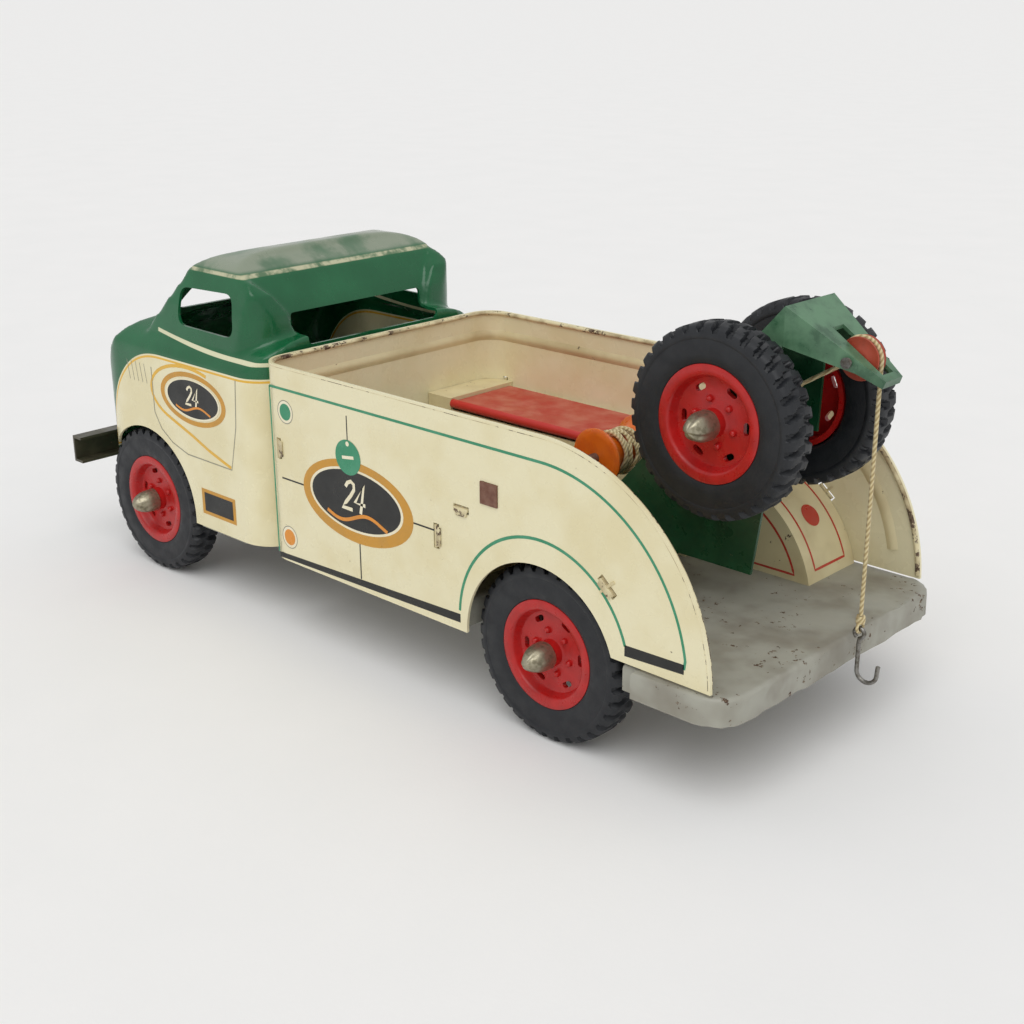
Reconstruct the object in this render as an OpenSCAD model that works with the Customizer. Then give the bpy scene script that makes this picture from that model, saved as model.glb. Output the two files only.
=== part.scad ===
// Pressed-steel toy tow truck: lithographed cab and bed on a tray chassis, toolboxes
// with hinged lids, a winch with its line over a boom pulley, and two spare wheels.
// Front is +X, the truck's left is +Y, up is +Z. The origin is on the ground, in the
// middle of the truck.

/* [Wheels] */
// Distance between the front and the rear axle
wheelbase = 250; // [220:1:300]
// Distance between the outer faces of the left and right rims
track = 128; // [122:1:140]
// Radius of a tyre
tyre_r = 34.5; // [31:0.5:36]
// Width of a tyre
tyre_w = 15; // [12:0.5:16]
// Radius of a rim's outer lip
rim_r = 21; // [18:0.5:23]
// Radius of the wheel axles
axle_r = 2.4; // [1.8:0.1:3]
// How far an axle cap stands out past the rim
cap_out = 11.4; // [8:0.2:14]
// Radius of an axle cap at its base
cap_r = 5.4; // [4.5:0.1:6.5]

/* [Chassis and bed] */
// Width over the bed's side panels
bed_w = 136; // [130:1:160]
// Height of the bed's top edge above the ground
bed_top = 118.5; // [112:0.5:140]
// Height of the bed's lower edge above the ground
bed_low = 33.5; // [31:0.5:36]
// Height of the deck above the ground
deck_z = 45; // [42:0.5:48]
// Depth of the chassis flange below the deck
flange_h = 10.5; // [8:0.5:12]
// Length of the bed from the rear axle to its front wall
bed_fore = 156.5; // [146:0.5:170]
// Length of the bed from the rear axle back to its rear corner
bed_aft = 76; // [72:0.5:80]
// Length of the deck behind the rear axle
deck_aft = 83.5; // [80:0.5:90]
// Radius of the wheel arches in the body
arch_r = 36; // [35.5:0.5:38]
// Sheet metal thickness
sheet = 1.2; // [0.8:0.1:1.6]

/* [Cab] */
// Width of the cab
cab_w = 130; // [126:1:150]
// Height of the roof's middle above the ground
roof_z = 155; // [148:1:175]
// Gap between the bed's front wall and the cab
cab_gap = 3.5; // [2:0.5:8]
// Length of the cab's nose ahead of the front axle
nose_fore = 42; // [40:0.5:48]
// Radius of the cab's upright corners
cab_corner = 16; // [10:0.5:20]
// Width over the front bumper
bumper_w = 140; // [130:1:160]
// Height of the front bumper
bumper_h = 13; // [10:0.5:16]

/* [Toolboxes] */
// Distance from the middle of the truck to a toolbox's inner wall
box_in = 26; // [25:0.5:32]
// Height of a toolbox's top above the ground
box_top = 83; // [80:0.5:86]
// Length of a toolbox lid
lid_l = 106; // [80:1:116]
// Radius of a lid's rolled edge
roll_r = 2; // [1.6:0.1:2.5]
// Radius of a lid's hinge wire
wire_r = 0.8; // [0.5:0.1:1]

/* [Boom and winch] */
// Width over the boom's side plates
boom_w = 30; // [26:0.5:32]
// How far the boom stands to the right of the middle
boom_shift = 4; // [0:0.5:5]
// Height of the boom's ridge above the ground
ridge_z = 162.2; // [150:0.2:175]
// Distance from the rear axle back to the boom's tip
tip_aft = 92.5; // [88:0.5:98]
// Radius of the winch rod
rod_r = 2; // [1.5:0.1:2.5]
// Radius of the winch spool's flanges
spool_r = 11.5; // [9:0.5:12]
// Length of the winch spool
spool_l = 28; // [22:0.5:30]
// Radius of the pulley in the boom's tip
pulley_r = 7.5; // [6.5:0.1:8]
// Radius of the tow line
line_r = 0.75; // [0.6:0.05:0.9]

/* [Fits] */
// Radial clearance of a part that turns on a shaft
run_gap = 0.06; // [0.02:0.01:0.1]
// Space between parts that move past each other
free_gap = 0.4; // [0.3:0.05:0.6]

/* [Hidden] */
$fn = 96;
bumper_fore = nose_fore + 16;
rear_x = (tip_aft - wheelbase - bumper_fore) / 2;
bed_corner = 12;
front_x = rear_x + wheelbase;
bed_front_x = rear_x + bed_fore;
cab_rear_x = bed_front_x + cab_gap;
nose_x = front_x + nose_fore;
far = 400;

// Wheels: the wheel's own axis is +Z, its outer face at z = 0, the hub inside at -Z.
seat_r = rim_r - 1.2;
lip_t = 1.3;
well_r = 17;
disc_z = -4.6;
boss_r = 5;
boss_out = -0.6;
hand_holes = 6;
hand_hole_ring = 12.6;
hand_hole_r = 1.9;
cap_l = cap_out - boss_out - free_gap;

// A tyre's section is a ring of points: bead, shoulder, tread, shoulder, bead.
bulge = 0.6;
tread_half = (tyre_w - 7) / 2;
tyre_mid = -tyre_w / 2 + bulge;
side_half = tyre_w / 2;

module tyre() {
    color("#3a3c40") rotate_extrude() polygon([
        [seat_r + 0.05, tyre_mid - side_half + lip_t + 0.8], [rim_r + 0.3, tyre_mid - side_half + 0.7],
        [rim_r + 4, tyre_mid - side_half], [tyre_r - 3.5, tyre_mid - side_half + 0.9],
        [tyre_r - 1, tyre_mid - tread_half - 1.6], [tyre_r, tyre_mid - tread_half],
        [tyre_r, tyre_mid + tread_half], [tyre_r - 1, tyre_mid + tread_half + 1.6],
        [tyre_r - 3.5, tyre_mid + side_half - 0.9], [rim_r + 4, tyre_mid + side_half],
        [rim_r + 0.3, tyre_mid + side_half - 0.7], [rim_r + 0.3, -lip_t - 0.05],
        [seat_r + 0.05, -lip_t - 0.05]]);
}

module hub() {
    color("#c9302c") difference() {
        rotate_extrude() polygon([
            [axle_r + run_gap, boss_out], [boss_r, boss_out], [boss_r + 0.6, disc_z],
            [well_r - 1.2, disc_z], [well_r, 0], [rim_r, 0], [rim_r, -lip_t], [seat_r, -lip_t],
            [seat_r, tyre_mid - side_half + lip_t + 0.9], [well_r + 0.6, tyre_mid - side_half + lip_t + 0.9],
            [well_r - 1, disc_z - 1.6], [boss_r, disc_z - 1.6],
            [boss_r, -tyre_w + bulge], [axle_r + run_gap, -tyre_w + bulge]]);
        for (i = [0:hand_holes - 1])
            rotate([0, 0, 360 / hand_holes * (i + 0.5)]) translate([hand_hole_ring, 0, disc_z - 4])
                cylinder(r = hand_hole_r, h = 8);
    }
}

module axle_cap() {
    color("#b5b09a") difference() {
        translate([0, 0, boss_out + free_gap]) rotate_extrude() polygon([
            [0, 0], [cap_r, 0], [cap_r, cap_l * 0.3], [cap_r * 0.86, cap_l * 0.6],
            [cap_r * 0.5, cap_l * 0.88], [cap_r * 0.2, cap_l], [0, cap_l]]);
        translate([0, 0, -5]) cylinder(r = axle_r + 0.02, h = 5 + cap_out * 0.55);
    }
}

// Puts a wheel's child on the truck: side is 1 on the left and -1 on the right.
module at_wheel(x, side, face_y, z) {
    translate([x, side * face_y, z]) rotate([-90 * side, 0, 0]) children();
}

module axle(half) {
    color("#8d8a80") rotate([90, 0, 0]) cylinder(r = axle_r, h = 2 * half, center = true);
}

axle_half = track / 2 + cap_out * 0.5;
spare_half = boom_w / 2 + 4 + tyre_w - bulge;
spare_x = rear_x - 42.3;
spare_z = tyre_r + 87.6;
spare_axle_half = spare_half + cap_out * 0.5;

module on_boom() {
    translate([0, -boom_shift, 0]) children();
}

module axle_cap_pair(x, half, z) {
    for (side = [-1, 1]) at_wheel(x, side, half, z) axle_cap();
}

// Chassis: a tray with rounded rear corners and bays for the wheels. It narrows to a
// neck where it passes through the bed's front wall and the cab's rear wall.
pan_half = bed_w / 2 - sheet - 0.5;
tail_half = bed_w / 2 + 1.6;
tail_from = rear_x - 44;
tail_x = rear_x - deck_aft;
tail_corner = 13;
sill_half = cab_w / 2 - sheet - 0.5;
sill_drop = 4;
neck_half = min(cab_w / 2 - cab_corner, bed_w / 2 - bed_corner) - 2;
pan_front_x = nose_x - 5;
wheel_bay_in = track / 2 - tyre_w - 3;
wheel_bay_r = tyre_r + 3.5;

module rounded_end(x0, x1, half, r) {
    union() {
        translate([x0 + r, -half]) square([x1 - x0 - r, 2 * half]);
        translate([x0, -half + r]) square([r + 1, 2 * (half - r)]);
        for (side = [-1, 1]) translate([x0 + r, side * (half - r)]) circle(r = r);
    }
}

module strip(x0, x1, half) {
    translate([x0, -half]) square([x1 - x0, 2 * half]);
}

module sill_outline(inset) {
    strip(cab_rear_x + cab_corner + 3 + inset, pan_front_x - inset, sill_half - inset);
}

module chassis_outline(inset) {
    union() {
        rounded_end(tail_x + inset, tail_from - inset, tail_half - inset, tail_corner - inset);
        strip(tail_from - 6, bed_front_x - bed_corner - 2 - inset, pan_half - inset);
        strip(bed_front_x - bed_corner - 12, cab_rear_x + cab_corner + 12, neck_half - inset);
        sill_outline(inset);
    }
}

module wheel_bays() {
    for (x = [rear_x, front_x]) for (side = [-1, 1])
        translate([x - wheel_bay_r, side > 0 ? wheel_bay_in : -wheel_bay_in - 40, -far / 2])
            cube([2 * wheel_bay_r, 40, far]);
}

module chassis() {
    low = deck_z - flange_h;
    color("#b9bab2") difference() {
        union() {
            translate([0, 0, low]) linear_extrude(flange_h) chassis_outline(0);
            translate([0, 0, low - sill_drop]) linear_extrude(flange_h) sill_outline(0);
        }
        translate([0, 0, low - 1]) linear_extrude(flange_h + 1 - sheet) chassis_outline(sheet);
        translate([0, 0, low - sill_drop - 1]) linear_extrude(flange_h) sill_outline(sheet);
        wheel_bays();
    }
}

// Axle brackets: folded channels under the deck, bored for the axles.
bracket_half = wheel_bay_in - 2;
bracket_l = 22;
bracket_low = tyre_r - 7;

module axle_bracket(x) {
    color("#8f9088") difference() {
        translate([x - bracket_l / 2, -bracket_half, bracket_low])
            cube([bracket_l, 2 * bracket_half, deck_z - sheet - bracket_low]);
        translate([x - bracket_l / 2 - 1, -bracket_half + sheet, bracket_low - 1])
            cube([bracket_l + 2, 2 * (bracket_half - sheet), deck_z - 2 * sheet - bracket_low + 1]);
        translate([x, 0, tyre_r]) rotate([90, 0, 0])
            cylinder(r = axle_r + run_gap, h = far, center = true);
    }
}

// Front bumper: a channel, open to the rear, on two arms that lie on the chassis.
bumper_z = tyre_r + 8;
bumper_d = 7;
bumper_x = front_x + bumper_fore - bumper_d;
arm_y = 20;
arm_w = 12;
arm_t = 2;
arm_lap = 14;

module bumper() {
    color("#3c3a2b") union() {
        difference() {
            translate([bumper_x, -bumper_w / 2, bumper_z]) cube([bumper_d, bumper_w, bumper_h]);
            translate([bumper_x - 1, -bumper_w / 2 - 1, bumper_z + sheet])
                cube([bumper_d + 1 - sheet, bumper_w + 2, bumper_h - 2 * sheet]);
        }
        for (side = [-1, 1])
            translate([pan_front_x - arm_lap, side * arm_y - arm_w / 2, deck_z])
                cube([bumper_x + bumper_d - sheet / 2 - pan_front_x + arm_lap, arm_w, arm_t]);
    }
}

// Bed: one strip round the left side, the front and the right side.
sweep_r = 75;
hem_h = 2.6;
hem_t = 2.4;
slot_w = 1.6;
bush_side = 8.4;
winch_x = rear_x + 23.5;
winch_z = tyre_r + 57;
bed_rear_x = rear_x - bed_aft;

module bed_outline(inset) {
    mirror([1, 0]) rounded_end(-bed_front_x + inset, -bed_rear_x + 20, bed_w / 2 - inset, bed_corner - inset);
}

// Everything that is kept of the bed's sides: flat top, then the sweep to the rear.
module bed_profile() {
    rise = bed_top - deck_z + 6;
    difference() {
        translate([bed_rear_x, bed_low]) square([bed_front_x - bed_rear_x + 1, bed_top - bed_low]);
        translate([bed_rear_x - 1, bed_low - 1]) square([rear_x - bed_rear_x, deck_z + 1 - bed_low]);
        difference() {
            translate([bed_rear_x - 1, bed_top - rise]) square([sweep_r + 1, rise + 1]);
            translate([bed_rear_x + sweep_r, bed_top - sweep_r]) circle(r = sweep_r);
            translate([bed_rear_x, bed_low]) square([sweep_r, bed_top - sweep_r - bed_low]);
        }
    }
}

module across_y(y0, w) {
    translate([0, y0 + w, 0]) rotate([90, 0, 0]) linear_extrude(w) children();
}

// Slots for the toolbox tabs: [distance ahead of the rear axle, height, length, tilt].
well_front = 51.5;
front_tab = 145;
tab_slots = [[front_tab, box_top, 9, 90], [well_front, 68.5, 10, 90], [38, box_top - 0.6, 8, 0],
    [-32, box_top - 11.4, 9, -41]];

module tab_cuts(side) {
    for (s = tab_slots)
        translate([rear_x + s[0], side * bed_w / 2, s[1]]) rotate([0, -s[3], 0])
            cube([s[2], 6, slot_w], center = true);
}

module bed_shell() {
    color("#f0ebd2") difference() {
        intersection() {
            translate([0, 0, bed_low]) linear_extrude(bed_top - bed_low) bed_outline(0);
            across_y(-far / 2, far) bed_profile();
        }
        translate([0, 0, bed_low - 1]) linear_extrude(bed_top - hem_h - bed_low + 1) bed_outline(sheet);
        translate([0, 0, bed_top - hem_h - 1]) linear_extrude(hem_h + 2) bed_outline(hem_t);
        translate([bed_front_x - 20, -neck_half - free_gap, bed_low - 1])
            cube([40, 2 * (neck_half + free_gap), deck_z + free_gap - bed_low + 1]);
        for (side = [-1, 1]) {
            translate([rear_x, side * bed_w / 2, tyre_r]) rotate([90, 0, 0])
                cylinder(r = arch_r, h = 20, center = true);
            translate([winch_x, side * bed_w / 2, winch_z])
                cube([bush_side + 0.1, 10, bush_side + 0.1], center = true);
            tab_cuts(side);
        }
    }
}

// Toolboxes: a folded cover from the front wall to the rear wheel, ending in a quarter arch.
housing_r = box_top - tyre_r;
housing_in = box_in + 8;
panel_in = bed_w / 2 - sheet;
end_block_l = 15;
end_block_h = 3;
box_front_x = bed_front_x - sheet;
lid_front_x = box_front_x - end_block_l - free_gap;
lid_rear_x = lid_front_x - lid_l;
hatch_margin = 5;
roll_y = box_in + roll_r / 2;
roll_z = box_top + 0.6;

module box_section(t) {
    intersection() {
        union() {
            translate([rear_x, deck_z - 1]) square([box_front_x - rear_x, box_top - t - deck_z + 1]);
            translate([rear_x, tyre_r]) circle(r = housing_r - t);
        }
        translate([rear_x - far, deck_z + (t > 0 ? -1 : 0)]) square([box_front_x - t - rear_x + far, far]);
    }
}

module box_cover() {
    difference() {
        intersection() {
            union() {
                across_y(box_in, panel_in - box_in) intersection() {
                    box_section(0);
                    translate([rear_x + 6, 0]) square([far, far]);
                }
                across_y(housing_in, panel_in - housing_in) box_section(0);
                translate([box_front_x - end_block_l, box_in, box_top - 1])
                    cube([end_block_l, panel_in - box_in, end_block_h + 1]);
            }
            translate([0, 0, deck_z - 1]) linear_extrude(bed_top - deck_z) bed_outline(sheet + 0.2);
        }
        across_y(box_in + sheet, far) intersection() {
            box_section(sheet);
            translate([rear_x + 6 + sheet, 0]) square([far, far]);
        }
        across_y(housing_in + sheet, far) box_section(sheet);
        translate([box_front_x - end_block_l + sheet, box_in + sheet, box_top - 2])
            cube([end_block_l - 2 * sheet, far, end_block_h + 2 - sheet]);
        translate([rear_x + well_front + hatch_margin, box_in + hatch_margin, box_top - 5])
            cube([lid_front_x - rear_x - well_front - 2 * hatch_margin, panel_in - box_in - 2 * hatch_margin, 10]);
    }
}

module box_tabs() {
    for (s = tab_slots)
        translate([rear_x + s[0], panel_in + sheet / 2 + 0.2, s[1]]) rotate([0, -s[3], 0])
            cube([s[2] - 1, sheet + 0.4, slot_w - 0.6], center = true);
}

// The wall between the tool space and the wheel, and a small wall behind the end block.
module dividers() {
    translate([rear_x + well_front - sheet / 2, box_in + sheet / 2, deck_z])
        cube([sheet, panel_in - box_in - sheet / 2, box_top - sheet / 2 - deck_z]);
    translate([rear_x + front_tab - sheet / 2, panel_in - 6.2, box_top - sheet])
        cube([sheet, 6, end_block_h + sheet / 2]);
}

ear_l = 4;

module hinge_ear() {
    translate([lid_rear_x - free_gap - ear_l, box_in, box_top - 1])
        cube([ear_l, 2 * roll_r + 1, end_block_h + 1]);
}

module toolbox() {
    color("#efe8cb") difference() {
        union() {
            box_cover();
            dividers();
            box_tabs();
            hinge_ear();
        }
        translate([lid_rear_x - free_gap, box_in - 1, roll_z - roll_r - 1])
            cube([lid_l + 2 * free_gap, 2 * roll_r + 2, 10]);
        translate([lid_rear_x - 2 * ear_l, roll_y, roll_z]) rotate([0, 90, 0])
            cylinder(r = wire_r + 0.02, h = lid_l + 4 * ear_l);
    }
}

// A lid is a plate with a rolled inner edge round the hinge wire.
module lid() {
    color("#b7503f") difference() {
        union() {
            translate([lid_rear_x, roll_y, box_top + free_gap / 2])
                cube([lid_l, panel_in - 2.5 - roll_y, sheet]);
            translate([lid_rear_x, roll_y, roll_z]) rotate([0, 90, 0]) cylinder(r = roll_r, h = lid_l);
        }
        translate([lid_rear_x - 1, roll_y, roll_z]) rotate([0, 90, 0])
            cylinder(r = wire_r + run_gap, h = lid_l + 2);
    }
}

module hinge_wire() {
    color("#55524a") translate([lid_rear_x - free_gap - ear_l, roll_y, roll_z]) rotate([0, 90, 0])
        cylinder(r = wire_r, h = lid_l + 2 * free_gap + ear_l + sheet);
}

// Boom: a channel with a leaning front web, two side plates and a tapered head.
boom_slope = 48.2;
head_slope = 32.8;
ridge_x = rear_x - 58.7;
web_foot_x = ridge_x + (ridge_z - deck_z) / tan(boom_slope);
foot_back_x = web_foot_x - 38;
plate_low_z = deck_z + 19;
tip_x = rear_x - tip_aft;
tip_z = ridge_z - (ridge_x - tip_x) * tan(head_slope);
tip_w = 10;
pulley_x = tip_x + 12.3;
pulley_z = tip_z + 5.2;
pulley_w = 5;
groove_r = pulley_r - 1.2;
slot_half = pulley_w / 2 + 0.8;
pin_r = 1.2;
taper = (boom_w - tip_w) / 2 / (ridge_x - tip_x);
pin_half = tip_w / 2 + taper * (pulley_x - tip_x) + 0.6;

// The boom from the side.
module boom_side() {
    polygon([[web_foot_x, deck_z], [ridge_x, ridge_z], [tip_x, tip_z], [tip_x + 1, tip_z - 2.5],
        [pulley_x - 2.5, pulley_z - 3.6], [ridge_x + 1.1, ridge_z - 13.4],
        [ridge_x + 3, (ridge_z + plate_low_z) / 2 - 12], [ridge_x + 8.2, plate_low_z],
        [ridge_x + 40, plate_low_z], [foot_back_x, deck_z]]);
}

// All that lies below the boom's inner faces, seen from the side.
module boom_inside() {
    apex = sheet * (1 / cos(head_slope) - 1 / cos(boom_slope)) / (tan(head_slope) + tan(boom_slope));
    polygon([[web_foot_x - sheet / sin(boom_slope), deck_z],
        [ridge_x + apex, ridge_z + apex * tan(head_slope) - sheet / cos(head_slope)],
        [tip_x + sheet, tip_z + sheet * tan(head_slope) - sheet / cos(head_slope)],
        [tip_x + sheet, deck_z - 10], [web_foot_x - sheet / sin(boom_slope), deck_z - 10]]);
}

// The boom from above: even in width, then tapering to the tip.
module boom_plan(inset) {
    polygon([[web_foot_x + 1, -boom_w / 2 + inset], [ridge_x, -boom_w / 2 + inset],
        [tip_x - 1, -tip_w / 2 + inset], [tip_x - 1, tip_w / 2 - inset],
        [ridge_x, boom_w / 2 - inset], [web_foot_x + 1, boom_w / 2 - inset]]);
}

module foot_tabs() {
    for (side = [-1, 1])
        translate([foot_back_x + 4, side > 0 ? boom_w / 2 - 0.6 : -boom_w / 2 - 5.4, deck_z])
            cube([web_foot_x - foot_back_x - 12, 6, sheet]);
}

// The right plate stops short: it is cut back to a strip along the web below the spare axle.
strip_w = 14;
strip_back = strip_w / sin(boom_slope);
strip_top_z = spare_z - 10;

module right_plate_cut() {
    across_y(-boom_w / 2 - 1, sheet + 1.4) polygon([
        [web_foot_x - strip_back, deck_z - 1],
        [web_foot_x - strip_back - (strip_top_z - deck_z + 1) / tan(boom_slope), strip_top_z],
        [tip_x, strip_top_z], [tip_x, deck_z - 1]]);
}

line_hole_z = winch_z + 5;

module boom() {
    color("#3f7d59") on_boom() difference() {
        union() {
            difference() {
                intersection() {
                    across_y(-boom_w / 2, boom_w) boom_side();
                    linear_extrude(far) boom_plan(0);
                }
                intersection() {
                    across_y(-boom_w / 2, boom_w) boom_inside();
                    linear_extrude(far) boom_plan(sheet);
                }
            }
            foot_tabs();
        }
        translate([spare_x, 0, spare_z]) rotate([90, 0, 0])
            cylinder(r = axle_r + run_gap, h = far, center = true);
        translate([pulley_x, 0, pulley_z]) rotate([90, 0, 0])
            cylinder(r = pin_r + 0.02, h = far, center = true);
        translate([tip_x + 2.5, -slot_half, pulley_z - 20]) cube([2 * pulley_r + 5, 2 * slot_half, 60]);
        translate([web_foot_x - 60, -3, line_hole_z - 6]) cube([40, 6, 10]);
        right_plate_cut();
    }
}

// Winch: a rod through square bushes in the bed's sides, with a waisted spool.
waist_r = 6;
spool_flange = 1.6;
bush_flange = 11;
bush_in = bed_w / 2 - sheet - 2;
bush_out = 0.6;
rod_half = bed_w / 2 - 0.8;
turns = 7;

module winch_rod() {
    color("#8a8578") translate([winch_x, 0, winch_z]) rotate([90, 0, 0])
        cylinder(r = rod_r, h = 2 * rod_half, center = true);
}

module winch_spool() {
    half = spool_l / 2;
    color("#d97f15") on_boom() translate([winch_x, 0, winch_z]) rotate([90, 0, 0])
        rotate_extrude() polygon([
            [rod_r + 0.02, -half], [spool_r, -half], [spool_r, -half + spool_flange],
            [waist_r + 2.4, -half + spool_flange + 2.2], [waist_r + 0.6, -half * 0.5],
            [waist_r, -half * 0.25], [waist_r, half * 0.25], [waist_r + 0.6, half * 0.5],
            [waist_r + 2.4, half - spool_flange - 2.2], [spool_r, half - spool_flange],
            [spool_r, half], [rod_r + 0.02, half]]);
}

// The line wound on the waist: turns side by side on the spool.
module line_winding() {
    pitch = 2 * line_r * 0.92;
    color("#cdbb8e") on_boom() translate([winch_x, 0, winch_z]) rotate([90, 0, 0])
        rotate_extrude() union() {
            for (i = [0:turns - 1])
                translate([waist_r + 0.75 + line_r, (i - (turns - 1) / 2) * pitch]) circle(r = line_r);
            translate([waist_r + 0.75, -(turns - 1) / 2 * pitch]) square([line_r, (turns - 1) * pitch]);
        }
}

module winch_bush() {
    color("#5a3a28") difference() {
        union() {
            translate([winch_x - bush_side / 2, bush_in, winch_z - bush_side / 2])
                cube([bush_side, bed_w / 2 + bush_out - bush_in, bush_side]);
            translate([winch_x - bush_flange / 2, bush_in, winch_z - bush_flange / 2])
                cube([bush_flange, panel_in - bush_in, bush_flange]);
        }
        translate([winch_x, rod_half + 0.2, winch_z]) rotate([90, 0, 0])
            cylinder(r = rod_r + run_gap, h = rod_half);
    }
}

// Pulley: a grooved wheel, kept in the middle by the sides of the slot.

module tip_pulley() {
    half = pulley_w / 2;
    color("#c8462a") on_boom() translate([pulley_x, 0, pulley_z]) rotate([90, 0, 0])
        rotate_extrude() polygon([
            [pin_r + run_gap, -half], [pulley_r, -half], [pulley_r, -half + 0.6],
            [groove_r, -line_r], [groove_r, line_r], [pulley_r, half - 0.6], [pulley_r, half],
            [pin_r + run_gap, half]]);
}

module pulley_pin() {
    color("#77746a") on_boom() translate([pulley_x, 0, pulley_z]) rotate([90, 0, 0]) union() {
        cylinder(r = pin_r, h = 2 * pin_half + 1.6, center = true);
        for (side = [-1, 1]) translate([0, 0, side * (pin_half + 1)])
            cylinder(r = 1.9, h = 1, center = true);
    }
}

// Tow line. Each piece is a tube along a route of [x, z] points over the boom's middle.
line_z0 = pulley_z;
line_x0 = pulley_x - groove_r - line_r - 0.1;
knot_top_z = tyre_r + 20;
eye_z = tyre_r + 13.3;
eye_r = 1.9;
wire_hook_r = 0.8;
bend_r = 4;
bend_z = tyre_r - 0.6;
wrap_r = waist_r + 0.75 + 3 * line_r + 0.15;
sides = 8;

// Where the line leaves the winding, then the hole in the web, the spare axle, the pulley.
axle_pass_r = axle_r + line_r + 0.5;
route_a = [
    [winch_x + wrap_r * cos(-70), winch_z + wrap_r * sin(-70)],
    [winch_x + wrap_r * cos(-95), winch_z + wrap_r * sin(-95)],
    [winch_x + wrap_r * cos(-112), winch_z + wrap_r * sin(-112)]];
route_b = [
    [rear_x - 1, line_hole_z - 0.6],
    [rear_x - 20, tyre_r + 71.5],
    [spare_x + axle_pass_r * cos(-60), spare_z + axle_pass_r * sin(-60)],
    [spare_x + axle_pass_r * cos(-95), spare_z + axle_pass_r * sin(-95)],
    [spare_x + axle_pass_r * cos(-130), spare_z + axle_pass_r * sin(-130)],
    [rear_x - 57.9, tyre_r + 98.4]];
over_r = groove_r + line_r + 0.1;
route_c = [for (a = [-25:20:155]) [pulley_x + over_r * cos(a), pulley_z + over_r * sin(a)]];
route_run = concat(route_a, route_b, route_c, [[line_x0, line_z0 + 1], [line_x0, line_z0]]);

// Extra rings between two route points, no further apart than three line widths.
function between(a, b) = let (n = max(1, ceil(norm(b - a) / (6 * line_r))))
    [for (i = [0:n - 1]) a + (b - a) * i / n];
function fill(route) = concat([for (i = [0:len(route) - 2]) each between(route[i], route[i + 1])],
    [route[len(route) - 1]]);
function heading(pts, i) = let (a = pts[max(i - 1, 0)], b = pts[min(i + 1, len(pts) - 1)])
    (b - a) / norm(b - a);
function ring(pts, i, r) = let (d = heading(pts, i))
    [for (k = [0:sides - 1]) let (a = 360 * k / sides)
        [pts[i][0] - d[1] * r * cos(a), r * sin(a), pts[i][1] + d[0] * r * cos(a)]];
function quads(n) = [for (i = [0:n - 2]) for (k = [0:sides - 1])
    [i * sides + k, i * sides + (k + 1) % sides, (i + 1) * sides + (k + 1) % sides, (i + 1) * sides + k]];

module line_tube(pts) {
    n = len(pts);
    points = [for (i = [0:n - 1]) each ring(pts, i, line_r)];
    caps = [[for (k = [0:sides - 1]) sides - 1 - k], [for (k = [0:sides - 1]) (n - 1) * sides + k]];
    color("#cdbb8e") on_boom() polyhedron(points = points, faces = concat(quads(n), caps), convexity = 8);
}

module tow_line_drop() {
    drop = line_z0 - knot_top_z;
    n = ceil(drop / (6 * line_r));
    line_tube([for (i = [0:n]) [line_x0, line_z0 - drop * i / n]]);
}

// Knot: a barrel of turns over a loop that passes through the hook's eye.
loop_z = eye_z + eye_r + 0.5;

module line_knot() {
    color("#bfa976") on_boom() translate([line_x0, 0, 0]) union() {
        translate([0, 0, loop_z + 1.4]) rotate_extrude() polygon([
            [0, 0], [1.1, 0], [1.7, 0.7], [1.7, knot_top_z - loop_z - 2.2],
            [1, knot_top_z - loop_z - 1.4], [0, knot_top_z - loop_z - 1.4]]);
        translate([0, 0, loop_z]) rotate([0, 90, 0]) rotate_extrude() translate([2, 0]) circle(r = 0.6);
    }
}

module tow_hook() {
    color("#6f6c64") on_boom() translate([line_x0, 0, 0]) union() {
        translate([0, 0, eye_z]) rotate([90, 0, 0]) rotate_extrude() translate([eye_r, 0]) circle(r = wire_hook_r);
        translate([0, 0, bend_z - 0.2]) cylinder(r = wire_hook_r - 0.03, h = eye_z - eye_r - bend_z + 0.2);
        translate([-bend_r, 0, bend_z]) rotate([-90, 0, 0]) rotate_extrude(angle = 180)
            translate([bend_r, 0]) circle(r = wire_hook_r);
        translate([-2 * bend_r, 0, bend_z - 0.2]) cylinder(r1 = wire_hook_r - 0.03, r2 = 0.35, h = 3.8);
    }
}

// Cab: a stamped shell. Its side, its section and its plan are drawn once for the outside
// and once, set in by the sheet, for the inside.
cab_low = tyre_r - 2.5;
shoulder_z = tyre_r + 80;
eave_z = roof_z - 11;
eave_half = cab_w / 2 - 10;
house_half = cab_w / 2 - 4;
house_rear_x = cab_rear_x + 8;
nose_centre_z = tyre_r + 5;
nose_l = 60;
hood_z = shoulder_z + 9;
hood_edge_z = hood_z - 17;
glass_base_x = front_x - 4;
roof_front_x = front_x - 30;
roof_rear_x = cab_rear_x + 20;
nose_corner = 24;
steps = 24;

// A flat-topped arch of points from (x1, z) over to (x0, z), risen by rise.
function arch(x0, x1, z, rise) = [for (i = [0:steps]) let (u = cos(180 * i / steps))
    [(x0 + x1) / 2 + (x1 - x0) / 2 * u, z + rise * sqrt(max(0, 1 - pow(abs(u), 4)))]];

module plan_outline(x0, x1, half, r_rear, r_front) {
    union() {
        translate([x0 + r_rear, -half]) square([x1 - r_front - x0 - r_rear, 2 * half]);
        translate([x0, -half + r_rear]) square([r_rear + 1, 2 * (half - r_rear)]);
        translate([x1 - r_front - 1, -half + r_front]) square([r_front + 1, 2 * (half - r_front)]);
        for (side = [-1, 1]) {
            translate([x0 + r_rear, side * (half - r_rear)]) circle(r = r_rear);
            translate([x1 - r_front, side * (half - r_front)]) circle(r = r_front);
        }
    }
}

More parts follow.
